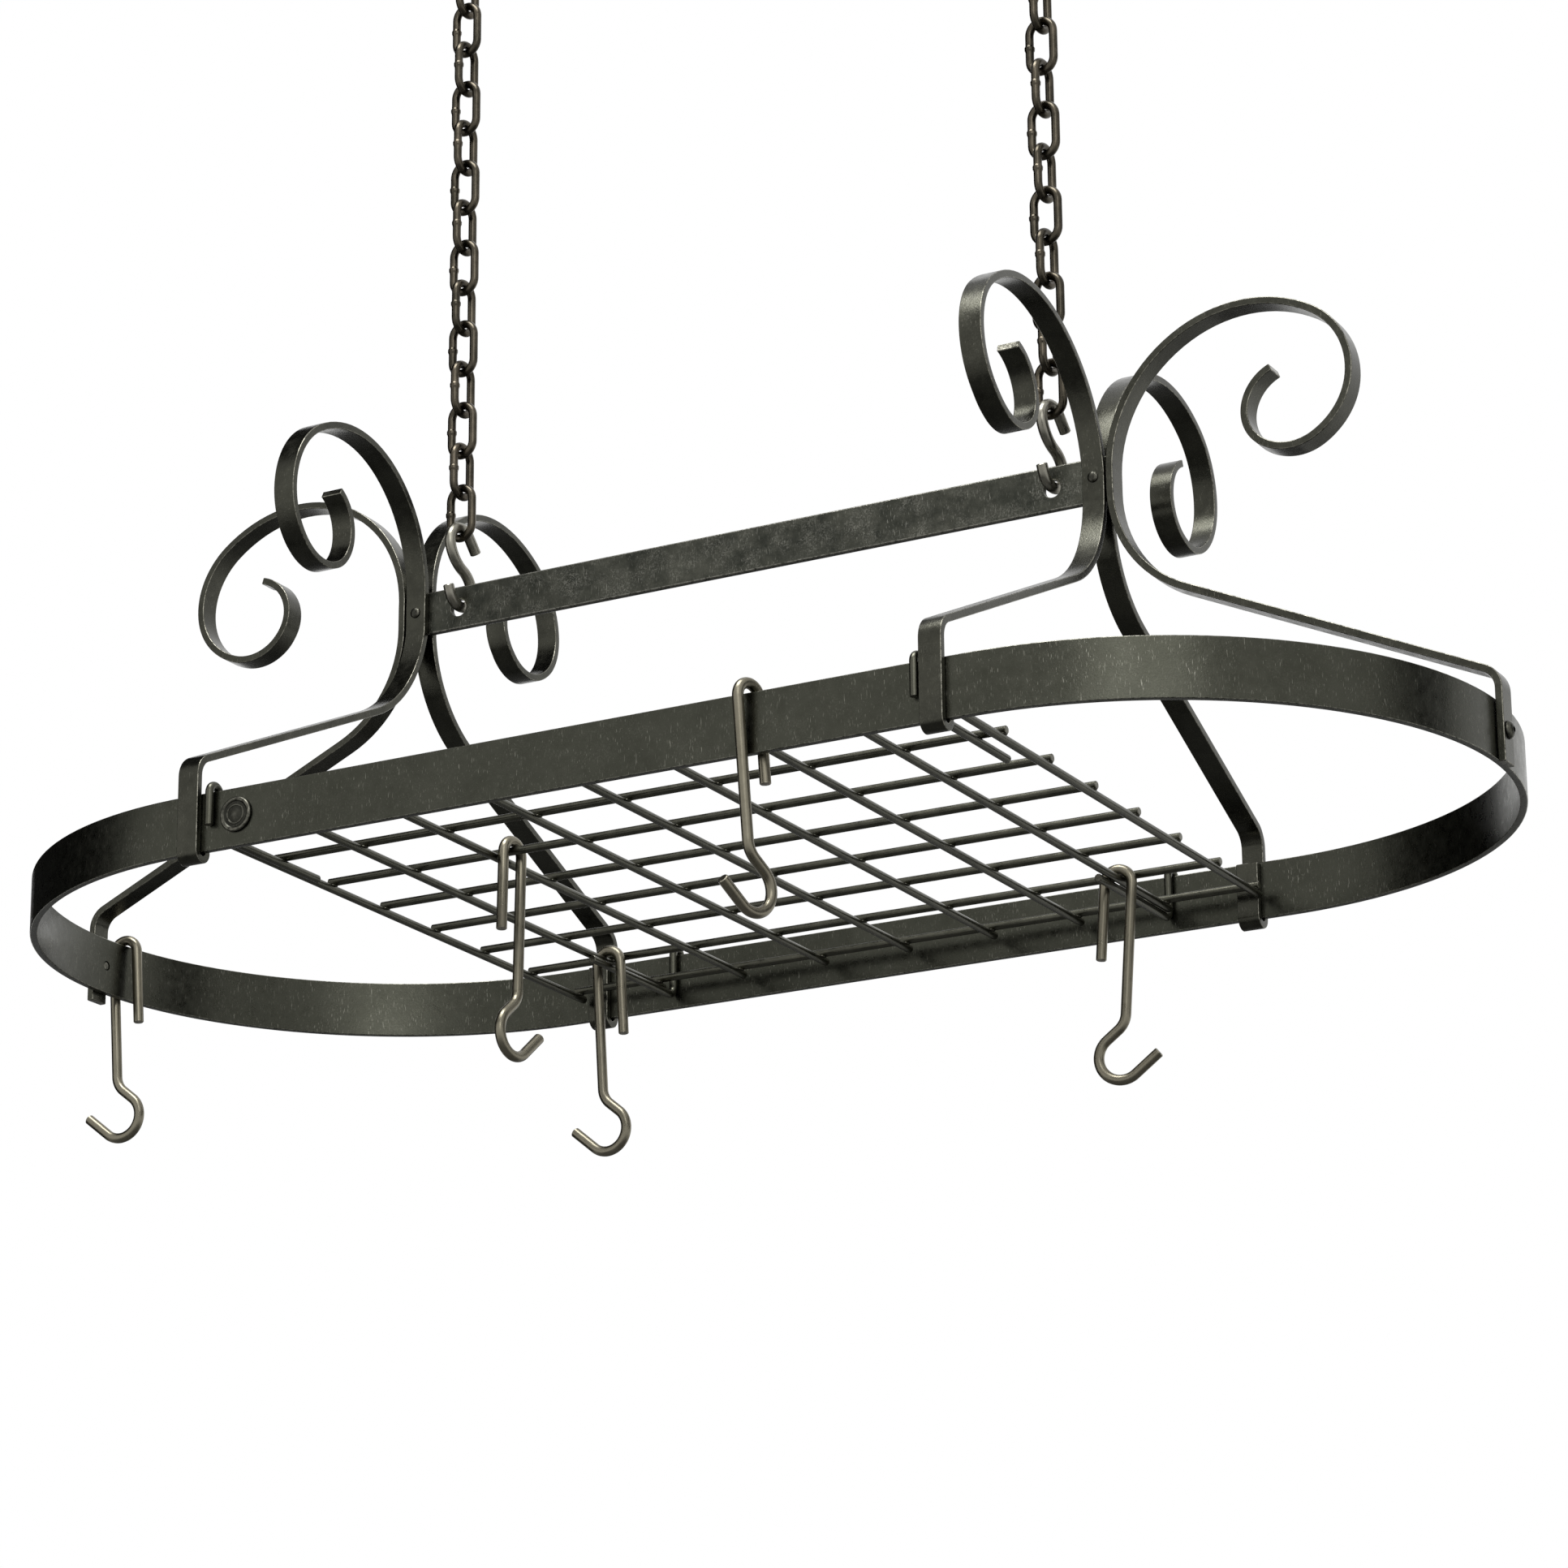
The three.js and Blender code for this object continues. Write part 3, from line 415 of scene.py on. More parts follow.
class Shell:
    """Vertices, faces and the wear and painted edge highlight mask of one piece, gathered from one or
    more closed bodies.
    """

    def __init__(self):
        self.points, self.faces, self.wear_and_highlight = [], [], []

    def rings(self, rings, ring_wear_and_highlight, looped=False):
        start, size, count = len(self.points), len(rings[0]), len(rings)
        for ring, wear_and_highlight in zip(rings, ring_wear_and_highlight):
            self.points.extend(ring)
            self.wear_and_highlight.extend(wear_and_highlight)
        for i in range(count if looped else count - 1):
            low, high = start + i * size, start + ((i + 1) % count) * size
            for k in range(size):
                after = (k + 1) % size
                self.faces.append((low + k, low + after, high + after, high + k))
        if not looped:
            self.faces.append(tuple(start + k for k in reversed(range(size))))
            last = start + (count - 1) * size
            self.faces.append(tuple(last + k for k in range(size)))

    def sweep(self, frames, section, chamfer=END_CHAMFER, looped=False, swell=None):
        """The section laid on every frame; open ends get a small chamfer and a worn, cut face."""
        laid = [(centre, across, outwards, -(swell[i] if swell else 0.0), 0.0)
                for i, (centre, across, outwards) in enumerate(frames)]
        if not looped:
            for end, inner in ((0, 1), (-1, -2)):
                centre, across, outwards = frames[end]
                along = (frames[inner][0] - centre).normalized()
                set_back = centre + along * CHAMFER_RUN * chamfer
                laid[end] = (set_back, across, outwards, 0.0, 0.0)
                edge = [(centre + along * chamfer, across, outwards, 0.0, 1.0),
                        (centre, across, outwards, chamfer, 1.0)]
                laid = edge[::-1] + laid if end == 0 else laid + edge
        rings, ring_wear_and_highlight = [], []
        for centre, across, outwards, inset, worn in laid:
            points = section(inset)
            rings.append([centre + a * across + b * outwards for a, b, _ in points])
            ring_wear_and_highlight.append([max(wear_and_highlight, worn) for _, _, wear_and_highlight in points])
        self.rings(rings, ring_wear_and_highlight, looped)

    def lathe(self, profile, sides, place):
        """A profile of (radius, height, wear) turned round the place's Z axis, closed at both
        ends by a point on that axis."""
        inner = profile[1:-1]
        turn = 2 * math.pi / sides
        rings, ring_wear_and_highlight = [], []
        for radius, height, wear_and_highlight in inner:
            rings.append([
                place @ Vector((radius * math.cos(k * turn), radius * math.sin(k * turn), height))
                for k in range(sides)
            ])
            ring_wear_and_highlight.append([wear_and_highlight] * sides)
        start = len(self.points)
        self.rings(rings, ring_wear_and_highlight)
        del self.faces[-2:]
        for (_, height, wear_and_highlight), ring in ((profile[0], 0), (profile[-1], len(inner) - 1)):
            pole = len(self.points)
            self.points.append(place @ Vector((0, 0, height)))
            self.wear_and_highlight.append(wear_and_highlight)
            low = start + ring * sides
            for k in range(sides):
                self.faces.append((pole, low + k, low + (k + 1) % sides))

    def mesh(self, name, change=None):
        """The finished mesh in metres, in the ceiling's frame, with all faces turned outwards."""
        mesh = bpy.data.meshes.new(name)
        placed = [change(point) if change else point for point in self.points]
        points = [(p.x * MM, p.y * MM, (p.z - CEILING_HEIGHT) * MM) for p in placed]
        mesh.from_pydata(points, [], self.faces)
        attribute = mesh.attributes.new("wear_and_highlight", "FLOAT", "POINT")
        attribute.data.foreach_set("value", self.wear_and_highlight)
        work = bmesh.new()
        work.from_mesh(mesh)
        bmesh.ops.recalc_face_normals(work, faces=work.faces)
        work.to_mesh(mesh)
        work.free()
        return mesh


def body_of_node(node):
    bodies = frame["record"]["behaviour"]["bodies"]
    return next(body for body, members in bodies.items() if node in members)


def finish_piece(node, mesh, finish):
    """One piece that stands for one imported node, rides on that node's body and wears its finish."""
    mesh.polygons.foreach_set("use_smooth", [True] * len(mesh.polygons))
    mesh.set_sharp_from_angle(angle=SHARP_ANGLE)
    mesh.materials.append(FINISHES[finish])
    piece = add_object(node + "_finished", mesh)
    weighted = piece.modifiers.new("even_shading", "WEIGHTED_NORMAL")
    weighted.keep_sharp = True
    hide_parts(node)
    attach(piece, body_of_node(node))


def drill(mesh, *cutters):
    """Cuts each cutter's mesh out of the mesh, and keeps the wear and painted highlight mask that its
    points carry.
    """
    target = add_object("target", mesh)
    tools = []
    for cutter in cutters:
        tool = add_object("tool", cutter)
        tools.append(tool)
        step = target.modifiers.new("cut", "BOOLEAN")
        step.operation, step.solver, step.object = "DIFFERENCE", "EXACT", tool
    graph = bpy.context.evaluated_depsgraph_get()
    drilled = bpy.data.meshes.new_from_object(target.evaluated_get(graph), depsgraph=graph)
    drilled.name = mesh.name
    for thing in (target, *tools):
        bpy.data.objects.remove(thing)
    return drilled


def plug(radius, length, place, sides=CUTTER_SIDES):
    """A plain round cutter along the place's Z axis."""
    shell = Shell()
    half = length / 2
    profile = [(0, -half, 0), (radius, -half, 0), (radius, half, 0), (0, half, 0)]
    shell.lathe(profile, sides, place)
    return shell.mesh("plug")


def along_x(x, y, z):
    return Matrix.Translation((x, y, z)) @ Matrix.Rotation(math.pi / 2, 4, "Y")


def along_y(x, y, z):
    return Matrix.Translation((x, y, z)) @ Matrix.Rotation(math.pi / 2, 4, "X")


def turned(degrees, x=0.0, y=0.0, z=0.0):
    place = Matrix.Translation((x, y, z)) @ Matrix.Rotation(math.radians(degrees), 4, "Z")
    return lambda point: place @ point


# ---- Oval band and badge -----------------------------------------------------------------------

THROUGH_BAND = 16
BADGE_RADIUS = 9.5
BADGE_THICKNESS = 1.6
BADGE_SIDES = 56
BADGE_FROM_STRAP = 16.7
BADGE_HEIGHT = 17.0


def oval_frames():
    """Frames round the middle of the band's thickness, with their across axis upright."""
    radius = HALF_WIDTH - BAND_THICKNESS / 2
    middle = BAND_HEIGHT / 2
    upright = Vector((0, 0, 1))
    frames = []
    steps = round(180 / BAND_STEP)
    for side, first in ((1, -90), (-1, 90)):
        for k in range(steps + 1):
            angle = math.radians(first + 180 * k / steps)
            out = Vector((math.cos(angle), math.sin(angle), 0))
            centre = Vector((side * STRAIGHT_HALF, 0, middle)) + radius * out
            frames.append((centre, upright, out))
        for x in (STRAIGHT_HALF - JUNCTION, 0, JUNCTION - STRAIGHT_HALF):
            centre = Vector((side * x, side * radius, middle))
            frames.append((centre, upright, Vector((0, side, 0))))
    return frames


def make_band():
    shell = Shell()
    shell.sweep(oval_frames(), flat_section(BAND_HEIGHT, BAND_THICKNESS), looped=True)
    hole = SCREW_RADIUS + HOLE_CLEARANCE
    cutters = [plug(hole, THROUGH_BAND, along_x(side * HALF_LENGTH, 0, SCREW_HEIGHT))
               for side in (-1, 1)]
    finish_piece("ring", drill(shell.mesh("ring"), *cutters), "band_steel")


def make_badge():
    """A plain round badge: a raised rim, a narrow inner ring and a low dome."""
    radius, thick = BADGE_RADIUS, BADGE_THICKNESS
    rim = [(0, 0, 0), (radius - 0.15, 0, 0), (radius, 0.2, 0), (radius, 0.8, 0.6),
           (radius - 0.35, 1.35, 1), (radius - 0.9, thick, 1), (radius - 1.7, thick, 0.8),
           (radius - 2.2, 1.25, 0.2), (radius - 2.6, 0.9, 0)]
    ring = [(radius - 4.0, 0.9, 0), (radius - 4.25, 1.2, 0.7), (radius - 4.8, 1.2, 0.7),
            (radius - 5.05, 0.9, 0)]
    crown = [(3.6, 0.95, 0), (2.6, 1.2, 0.2), (1.3, 1.38, 0.4), (0, 1.45, 0.5)]
    place = along_y(BADGE_FROM_STRAP - STRAP_X, -HALF_WIDTH - SEAT_GAP, BADGE_HEIGHT)
    shell = Shell()
    shell.lathe(rim + ring + crown, BADGE_SIDES, place)
    finish_piece("badge", shell.mesh("badge"), "fastener_steel")


make_band()
make_badge()

# ---- Scroll straps -----------------------------------------------------------------------------

KNEE_HEIGHT = 139.0
KNEE_RADIUS = 68.0
SIDE_SHOULDER = 49.5
END_SHOULDER = 45.0
SHOULDER_RADIUS = 12.0
SCROLL_START_RISE = 4.0
SCROLL_FIRST_RADIUS = 78.5
# The scroll's further bends: radius and turn
SCROLL_ARCS = ((73.5, 60), (43.5, 60), (38.5, 60), (27.5, 60), (22.5, 60), (24.5, 65))
CRADLE_LIP_DROP = 0.75


def sweep_and_scroll(bender, leg_x, post_x, shoulder, first_arc):
    """From a leg at leg_x, over the shoulder, up the sweep to the knee, and into the scroll."""
    rise, reach = KNEE_HEIGHT - shoulder, leg_x - post_x
    turn = 90 - math.degrees(math.atan2(rise, reach))
    trim_shoulder = SHOULDER_RADIUS * math.tan(math.radians(turn) / 2)
    trim_knee = KNEE_RADIUS * math.tan(math.radians(turn) / 2)
    bender.run(shoulder - trim_shoulder - bender.z).bend(SHOULDER_RADIUS, turn)
    bender.run(math.hypot(rise, reach) - trim_shoulder - trim_knee).bend(KNEE_RADIUS, -turn)
    bender.run(BAR_AXIS + SCROLL_START_RISE - bender.z)
    bender.bend(SCROLL_FIRST_RADIUS, -first_arc)
    for radius, arc in SCROLL_ARCS:
        bender.bend(radius, -arc)


def set_sideways(point, lean, sway):
    """Moves a strap's point sideways: lean millimetres below the bar, growing down to the
    shoulder, and by the angle sway above it, where the scroll begins."""
    bar_bottom = BAR_AXIS - BAR_HEIGHT / 2
    share = min(1.0, max(0.0, (bar_bottom - point.z) / (bar_bottom - SIDE_SHOULDER)))
    above = max(0.0, point.z - BAR_AXIS - SCROLL_START_RISE)
    y = point.y + lean * share + math.tan(math.radians(sway)) * above
    return Vector((point.x, y, point.z))


def finish_strap(node, bender, hole, place, lean, sway):
    shell = Shell()
    shell.sweep(bender.frames(), flat_section(STRAP_WIDTH, STRAP_THICKNESS))
    mesh = shell.mesh(node, lambda point: place(set_sideways(point, lean, sway)))
    finish_piece(node, drill(mesh, hole), "strap_steel")


def make_side_strap(node, x, turn, lean, sway, first_arc):
    """A strap from its cradle under the band's side; a turn of -90 is the front, 90 the back."""
    cradle = BAND_THICKNESS / 2 + SIDE_GAP + STRAP_THICKNESS / 2
    inner = cradle - STRAP_THICKNESS / 2
    cradle_height = math.sqrt(inner ** 2 - (BAND_THICKNESS / 2) ** 2) - SEAT_GAP
    lip = BAND_HEIGHT - CRADLE_LIP_DROP
    bender = Bender(HALF_WIDTH - BAND_THICKNESS - LEG_OFFSET, lip, -90)
    bender.run(lip - cradle_height).bend(cradle, 180)
    sweep_and_scroll(bender, HALF_WIDTH + LEG_OFFSET, SIDE_POST, SIDE_SHOULDER, first_arc)
    hole = plug(RIVET_RADIUS + HOLE_CLEARANCE, 3 * SIDE_POST,
                along_y(x, math.copysign(SIDE_POST, turn), BAR_AXIS))
    finish_strap(node, bender, hole, turned(turn, x), lean, sway)


def make_end_strap(node, foot, side, sway, first_arc):
    """A strap whose leg stands against the band's round end; side is -1 left or 1 right."""
    leg = HALF_LENGTH + LEG_OFFSET
    bender = Bender(leg, foot, 90)
    sweep_and_scroll(bender, leg, END_POST, END_SHOULDER, first_arc)
    hole = plug(SCREW_RADIUS + HOLE_CLEARANCE, 3 * STRAP_THICKNESS,
                along_x(side * leg, 0, SCREW_HEIGHT))
    finish_strap(node, bender, hole, turned(0 if side > 0 else 180), 0.0, sway)


# Every strap is bent a little differently, as hand-bent ones are.
make_side_strap("strap_front_left", -STRAP_X, -90, lean=-11.5, sway=2.6, first_arc=60)
make_side_strap("strap_front_right", STRAP_X, -90, lean=1.5, sway=-3.1, first_arc=68.5)
make_side_strap("strap_back_left", -STRAP_X, 90, lean=-3.0, sway=4.7, first_arc=64.5)
make_side_strap("strap_back_right", STRAP_X, 90, lean=5.0, sway=0.0, first_arc=64)
make_end_strap("strap_end_left", foot=-5.0, side=-1, sway=-4.7, first_arc=70.5)
make_end_strap("strap_end_right", foot=-1.5, side=1, sway=2.5, first_arc=62.5)

# ---- Crossbar, rivets and end screws -----------------------------------------------------------

THROUGH_BAR = 12
BAR_END_STEP = 2
BAR_HOLE_SIDES = 48
RIM_EASE = 0.45
RIM_WEAR = 0.8
RIM_TOLERANCE = 0.05
BORE_TOLERANCE = 0.04
SEAM_TOLERANCE = 0.01
FACE_TOLERANCE = 0.02
RIVET_HEAD_RADIUS = 3.0
RIVET_HEAD_HEIGHT = 1.4
RIVET_SIDES = 28
SCREW_HEAD_RADIUS = 4.75
SCREW_HEAD_HEIGHT = 2.8
SCREW_SIDES = 36
SCREW_END_CHAMFER = 0.4
SOCKET_RADIUS = 1.55
SOCKET_DEPTH = 1.6
SOCKET_SIDES = 6
# Where a round head's profile is taken, from its seat up, and how worn it is there
DOME_POINTS = ((18, 1.0), (34, 0.7), (50, 0.4), (65, 0.3), (78, 0.3))
CROWN_WEAR = 0.3


def ease_hole_rims(mesh):
    """Eases the rims of the bar's two chain holes, and marks them as worn."""
    work = bmesh.new()
    work.from_mesh(mesh)
    wear_and_highlight = work.verts.layers.float["wear_and_highlight"]

    def from_hole(vertex):
        across = min(abs(vertex.co.x - side * BAR_HOLE_X * MM) for side in (-1, 1))
        return math.hypot(across, vertex.co.z - (BAR_AXIS - CEILING_HEIGHT) * MM)

    def from_face(vertex):
        return abs(abs(vertex.co.y) - BAR_THICKNESS / 2 * MM)

    def on_rim(vertex):
        near = abs(from_hole(vertex) - BAR_HOLE_RADIUS * MM) < RIM_TOLERANCE * MM
        return near and from_face(vertex) < SEAM_TOLERANCE * MM

    rims = [edge for edge in work.edges if all(on_rim(vertex) for vertex in edge.verts)]
    eased = bmesh.ops.bevel(
        work, geom=rims, offset=RIM_EASE * MM, segments=2, affect="EDGES", profile=0.5)
    for vertex in eased["verts"]:
        in_face = from_face(vertex) < FACE_TOLERANCE * MM
        in_bore = from_hole(vertex) < (BAR_HOLE_RADIUS + BORE_TOLERANCE) * MM
        vertex[wear_and_highlight] = 0.0 if in_face or in_bore else RIM_WEAR
    work.to_mesh(mesh)
    work.free()


def make_crossbar():
    half = END_POST - STRAP_THICKNESS / 2 - SEAT_GAP
    bar = Shell()
    stops = (-half, -half + BAR_END_STEP, 0, half - BAR_END_STEP, half)
    frames = [(Vector((x, 0, BAR_AXIS)), Vector((0, 0, 1)), Vector((0, 1, 0))) for x in stops]
    bar.sweep(frames, flat_section(BAR_HEIGHT, BAR_THICKNESS, BAR_EDGE_RADIUS))
    cutters = []
    for side in (-1, 1):
        cutters.append(plug(BAR_HOLE_RADIUS, THROUGH_BAR,
                            along_y(side * BAR_HOLE_X, 0, BAR_AXIS), BAR_HOLE_SIDES))
        cutters.append(plug(RIVET_RADIUS + HOLE_CLEARANCE, THROUGH_BAR,
                            along_y(side * STRAP_X, 0, BAR_AXIS)))
    mesh = drill(bar.mesh("crossbar"), *cutters)
    ease_hole_rims(mesh)
    finish_piece("crossbar", mesh, "bar_steel")


def dome(seat, radius, height):
    """A round head's profile of (radius, height, wear), from its seat to its crown."""
    profile = [(radius - 0.2, seat, 0), (radius, seat + 0.15, CROWN_WEAR)]
    for degrees, wear_and_highlight in DOME_POINTS:
        angle = math.radians(degrees)
        profile.append((radius * math.cos(angle), seat + height * math.sin(angle), wear_and_highlight))
    return [*profile, (0, seat + height, CROWN_WEAR)]


def make_rivet(node, x):
    seat = SIDE_POST + STRAP_THICKNESS / 2 + SEAT_GAP
    upper = [(RIVET_RADIUS, seat, 0), *dome(seat, RIVET_HEAD_RADIUS, RIVET_HEAD_HEIGHT)]
    lower = [(radius, -along, wear_and_highlight) for radius, along, wear_and_highlight in reversed(upper)]
    shell = Shell()
    shell.lathe(lower + upper, RIVET_SIDES, along_y(x, 0, BAR_AXIS))
    finish_piece(node, shell.mesh(node), "fastener_steel")


def make_end_screw(node, side):
    """A button-head screw with a six-sided socket, through the end strap into the band."""
    seat = HALF_LENGTH + SIDE_GAP + STRAP_THICKNESS + SEAT_GAP
    shank = HALF_LENGTH - BAND_THICKNESS + SIDE_GAP - seat
    place = (Matrix.Translation((side * seat, 0, SCREW_HEIGHT))
             @ Matrix.Rotation(side * math.pi / 2, 4, "Y"))
    shell = Shell()
    shell.lathe([
        (0, shank, 1),
        (SCREW_RADIUS - SCREW_END_CHAMFER, shank, 1),
        (SCREW_RADIUS, shank + SCREW_END_CHAMFER, 0.6),
        (SCREW_RADIUS, 0, 0),
        *dome(0, SCREW_HEAD_RADIUS, SCREW_HEAD_HEIGHT),
    ], SCREW_SIDES, place)
    crown = place @ Matrix.Translation((0, 0, SCREW_HEAD_HEIGHT))
    socket = plug(SOCKET_RADIUS, 2 * SOCKET_DEPTH, crown, SOCKET_SIDES)
    finish_piece(node, drill(shell.mesh(node), socket), "fastener_steel")


make_crossbar()
make_rivet("rivet_left", -STRAP_X)
make_rivet("rivet_right", STRAP_X)
make_end_screw("end_screw_left", -1)
make_end_screw("end_screw_right", 1)

# ---- Shelf grid --------------------------------------------------------------------------------

WIRE_DIAMETER = 4.5
CROSS_WIRE_HEIGHT = 10.5
LONG_WIRE_HEIGHT = 14.5
CROSS_PITCH = 53.6
LONG_PITCH = 51.7
CROSS_WIRES = 9
LONG_WIRES = 8
FIRST_CROSS = 4 * CROSS_PITCH
FIRST_LONG = 3.5 * LONG_PITCH
CROSS_REACH = FIRST_LONG + 5.0
LONG_REACH = FIRST_CROSS + 2.6
WIRE_END_STEP = 2
WELD_REACH = 2.55
WELD_HALF_HEIGHT = 1.15
WELD_WEAR = 0.15
WELD_SIDES = 14
GRID_HOOK_TIP = 13.0
GRID_HOOK_BEND = 5.0
GRID_HOOK_ROD = 87.0
# Where the shelf's own hooks stand along the band, and how high their rods lie
FRONT_LEFT_ROD_X = 4.9 - FIRST_CROSS
FRONT_RIGHT_ROD_X = STRAP_X - 8.0
FRONT_ROD_HEIGHT = LONG_WIRE_HEIGHT - WIRE_DIAMETER - SEAT_GAP
BACK_ROD_X = FIRST_CROSS - CROSS_PITCH - 3.0
BACK_ROD_HEIGHT = CROSS_WIRE_HEIGHT - 3.8


def straight_wire(shell, start, end):
    start, end = Vector(start), Vector(end)
    along = (end - start).normalized()
    across = Vector((0, 0, 1))
    stops = [start, start + WIRE_END_STEP * along, (start + end) / 2,
             end - WIRE_END_STEP * along, end]
    frames = [(stop, across, along.cross(across)) for stop in stops]
    shell.sweep(frames, round_section(WIRE_DIAMETER))


def make_grid():
    shell = Shell()
    across = [k * CROSS_PITCH - FIRST_CROSS for k in range(CROSS_WIRES)]
    along = [k * LONG_PITCH - FIRST_LONG for k in range(LONG_WIRES)]
    for x in across:
        straight_wire(shell, (x, -CROSS_REACH, CROSS_WIRE_HEIGHT),
                      (x, CROSS_REACH, CROSS_WIRE_HEIGHT))
    for y in along:
        straight_wire(shell, (-LONG_REACH, y, LONG_WIRE_HEIGHT),
                      (LONG_REACH, y, LONG_WIRE_HEIGHT))
    # The flash that the weld squeezes out where two wires cross
    middle = (CROSS_WIRE_HEIGHT + LONG_WIRE_HEIGHT) / 2
    bead = [(WELD_REACH * math.cos(math.radians(angle)),
             WELD_HALF_HEIGHT * math.sin(math.radians(angle)), WELD_WEAR)
            for angle in range(-90, 91, 30)]
    for x in across:
        for y in along:
            shell.lathe(bead, WELD_SIDES, Matrix.Translation((x, y, middle)))
    finish_piece("grid", shell.mesh("grid"), "wire_steel")


def make_grid_hook(node, x, turn, rod_height):
    """A hook over the band whose long foot runs on under the shelf's wires."""
    wire = WIRE_DIAMETER / 2
    top_radius = BAND_THICKNESS / 2 + SIDE_GAP + wire
    overhang = math.sqrt((top_radius - wire) ** 2 - (BAND_THICKNESS / 2) ** 2)
    top_height = BAND_HEIGHT + SEAT_GAP - overhang
    bender = Bender(HALF_WIDTH + SIDE_GAP + wire, GRID_HOOK_TIP, 90)
    bender.run(top_height - GRID_HOOK_TIP).bend(top_radius, 180)
    bender.run(top_height - rod_height - GRID_HOOK_BEND)
    bender.bend(GRID_HOOK_BEND, -90).run(GRID_HOOK_ROD)
    shell = Shell()
    shell.sweep(bender.frames(), round_section(WIRE_DIAMETER))
    finish_piece(node, shell.mesh(node, turned(turn, x)), "wire_steel")


make_grid()
make_grid_hook("grid_hook_front_left", FRONT_LEFT_ROD_X, -90, FRONT_ROD_HEIGHT)
make_grid_hook("grid_hook_front_right", FRONT_RIGHT_ROD_X, -90, FRONT_ROD_HEIGHT)
make_grid_hook("grid_hook_back_left", -BACK_ROD_X, 90, BACK_ROD_HEIGHT)
make_grid_hook("grid_hook_back_right", BACK_ROD_X, 90, BACK_ROD_HEIGHT)

# ---- Pot hooks ---------------------------------------------------------------------------------

POT_HOOK_DIAMETER = 5.8
POT_HOOK_HOLD = 0.5
POT_HOOK_TAIL = 43.0
POT_HOOK_TOP_RADIUS = 7.65
POT_HOOK_SHANK = 72.8
POT_HOOK_JOG = (12.0, 47.5)
POT_HOOK_NECK = 8.3
POT_HOOK_BOWL = (12.6, -180)
POT_HOOK_LIP = 17.3
POT_HOOK_INNER = POT_HOOK_TOP_RADIUS - POT_HOOK_DIAMETER / 2
END_HOOK_BEARING = math.radians(174.4)
FRONT_HOOK_OUTSET = 1.5


def make_pot_hook(node, x, y, z, turn, tilt):
    """A drawn rod with a closed top bend, a jogged neck and an open bowl, out of plumb by tilt."""
    bender = Bender(POT_HOOK_TOP_RADIUS, -POT_HOOK_TAIL, 90)
    bender.run(POT_HOOK_TAIL).bend(POT_HOOK_TOP_RADIUS, 180).run(POT_HOOK_SHANK)
    bender.bend(*POT_HOOK_JOG).run(POT_HOOK_NECK).bend(*POT_HOOK_BOWL).run(POT_HOOK_LIP)
    lean = Matrix.Rotation(math.radians(-tilt), 4, "Y")
    shell = Shell()
    shell.sweep(bender.frames(), round_section(POT_HOOK_DIAMETER, HOOK_SIDES), HOOK_CHAMFER)
    placed = turned(turn, x, y, z)
    finish_piece(node, shell.mesh(node, lambda point: placed(lean @ point)), "hook_steel")


def on_band(outset):
    """How high a pot hook's top bend stands over the band, when moved off its middle."""
    beside = BAND_THICKNESS / 2 + outset
    return BAND_HEIGHT + POT_HOOK_HOLD - math.sqrt(POT_HOOK_INNER ** 2 - beside ** 2)


def make_pot_hooks():
    """The five hooks, each at its own place: one round the band's end, one on a long wire, one on
    the band's front, and a pair at the back, over a cross wire and the rod beside it."""
    line = HALF_WIDTH - BAND_THICKNESS / 2
    end_x = line * math.cos(END_HOOK_BEARING) - STRAIGHT_HALF
    end_y = line * math.sin(END_HOOK_BEARING)
    on_wire = LONG_WIRE_HEIGHT + WIRE_DIAMETER / 2 + SEAT_GAP - POT_HOOK_INNER
    pair_x, pair_z = FIRST_CROSS - CROSS_PITCH - 1.5, CROSS_WIRE_HEIGHT - 1.4
    second_long = FIRST_LONG - LONG_PITCH
    make_pot_hook("pot_hook_1", end_x, end_y, on_band(0), turn=2.6, tilt=3.7)
    make_pot_hook("pot_hook_2", 6.4 - 2 * CROSS_PITCH, -1.5 * LONG_PITCH, on_wire,
                  turn=264.3, tilt=1.7)
    make_pot_hook("pot_hook_3", 109.9, -line - FRONT_HOOK_OUTSET, on_band(FRONT_HOOK_OUTSET),
                  turn=74.5, tilt=5.0)
    make_pot_hook("pot_hook_4", -pair_x, second_long - 7.9, pair_z, turn=-1.2, tilt=3.1)
    make_pot_hook("pot_hook_5", pair_x, second_long - 6.7, pair_z, turn=186.9, tilt=4.3)


make_pot_hooks()

# ---- S-hooks, chains and ceiling hooks ---------------------------------------------------------

S_HOOK_DIAMETER = 6.2
S_HOOK_LOWEST = 191.45
S_HOOK_LOWER_RADIUS = 10.1
S_HOOK_LOWER_TIP = 4.2
S_HOOK_FLARE = 21
S_HOOK_LOWER_TURN = 171
S_HOOK_WAIST = ((14.0, 54), (20.5, -47))
S_HOOK_TOP = (9.6, -161)
S_HOOK_UPPER_TIP = 10.0
LINK_COUNT = 14
LINK_WIRE_RADIUS = 2.35
LINK_HALF_WIDTH = 7.45
LINK_HEIGHT = 30.1
LINK_PITCH = 25.1
FIRST_LINK = 232.558
LINK_TURN = -5.0
LINK_STEP = 10
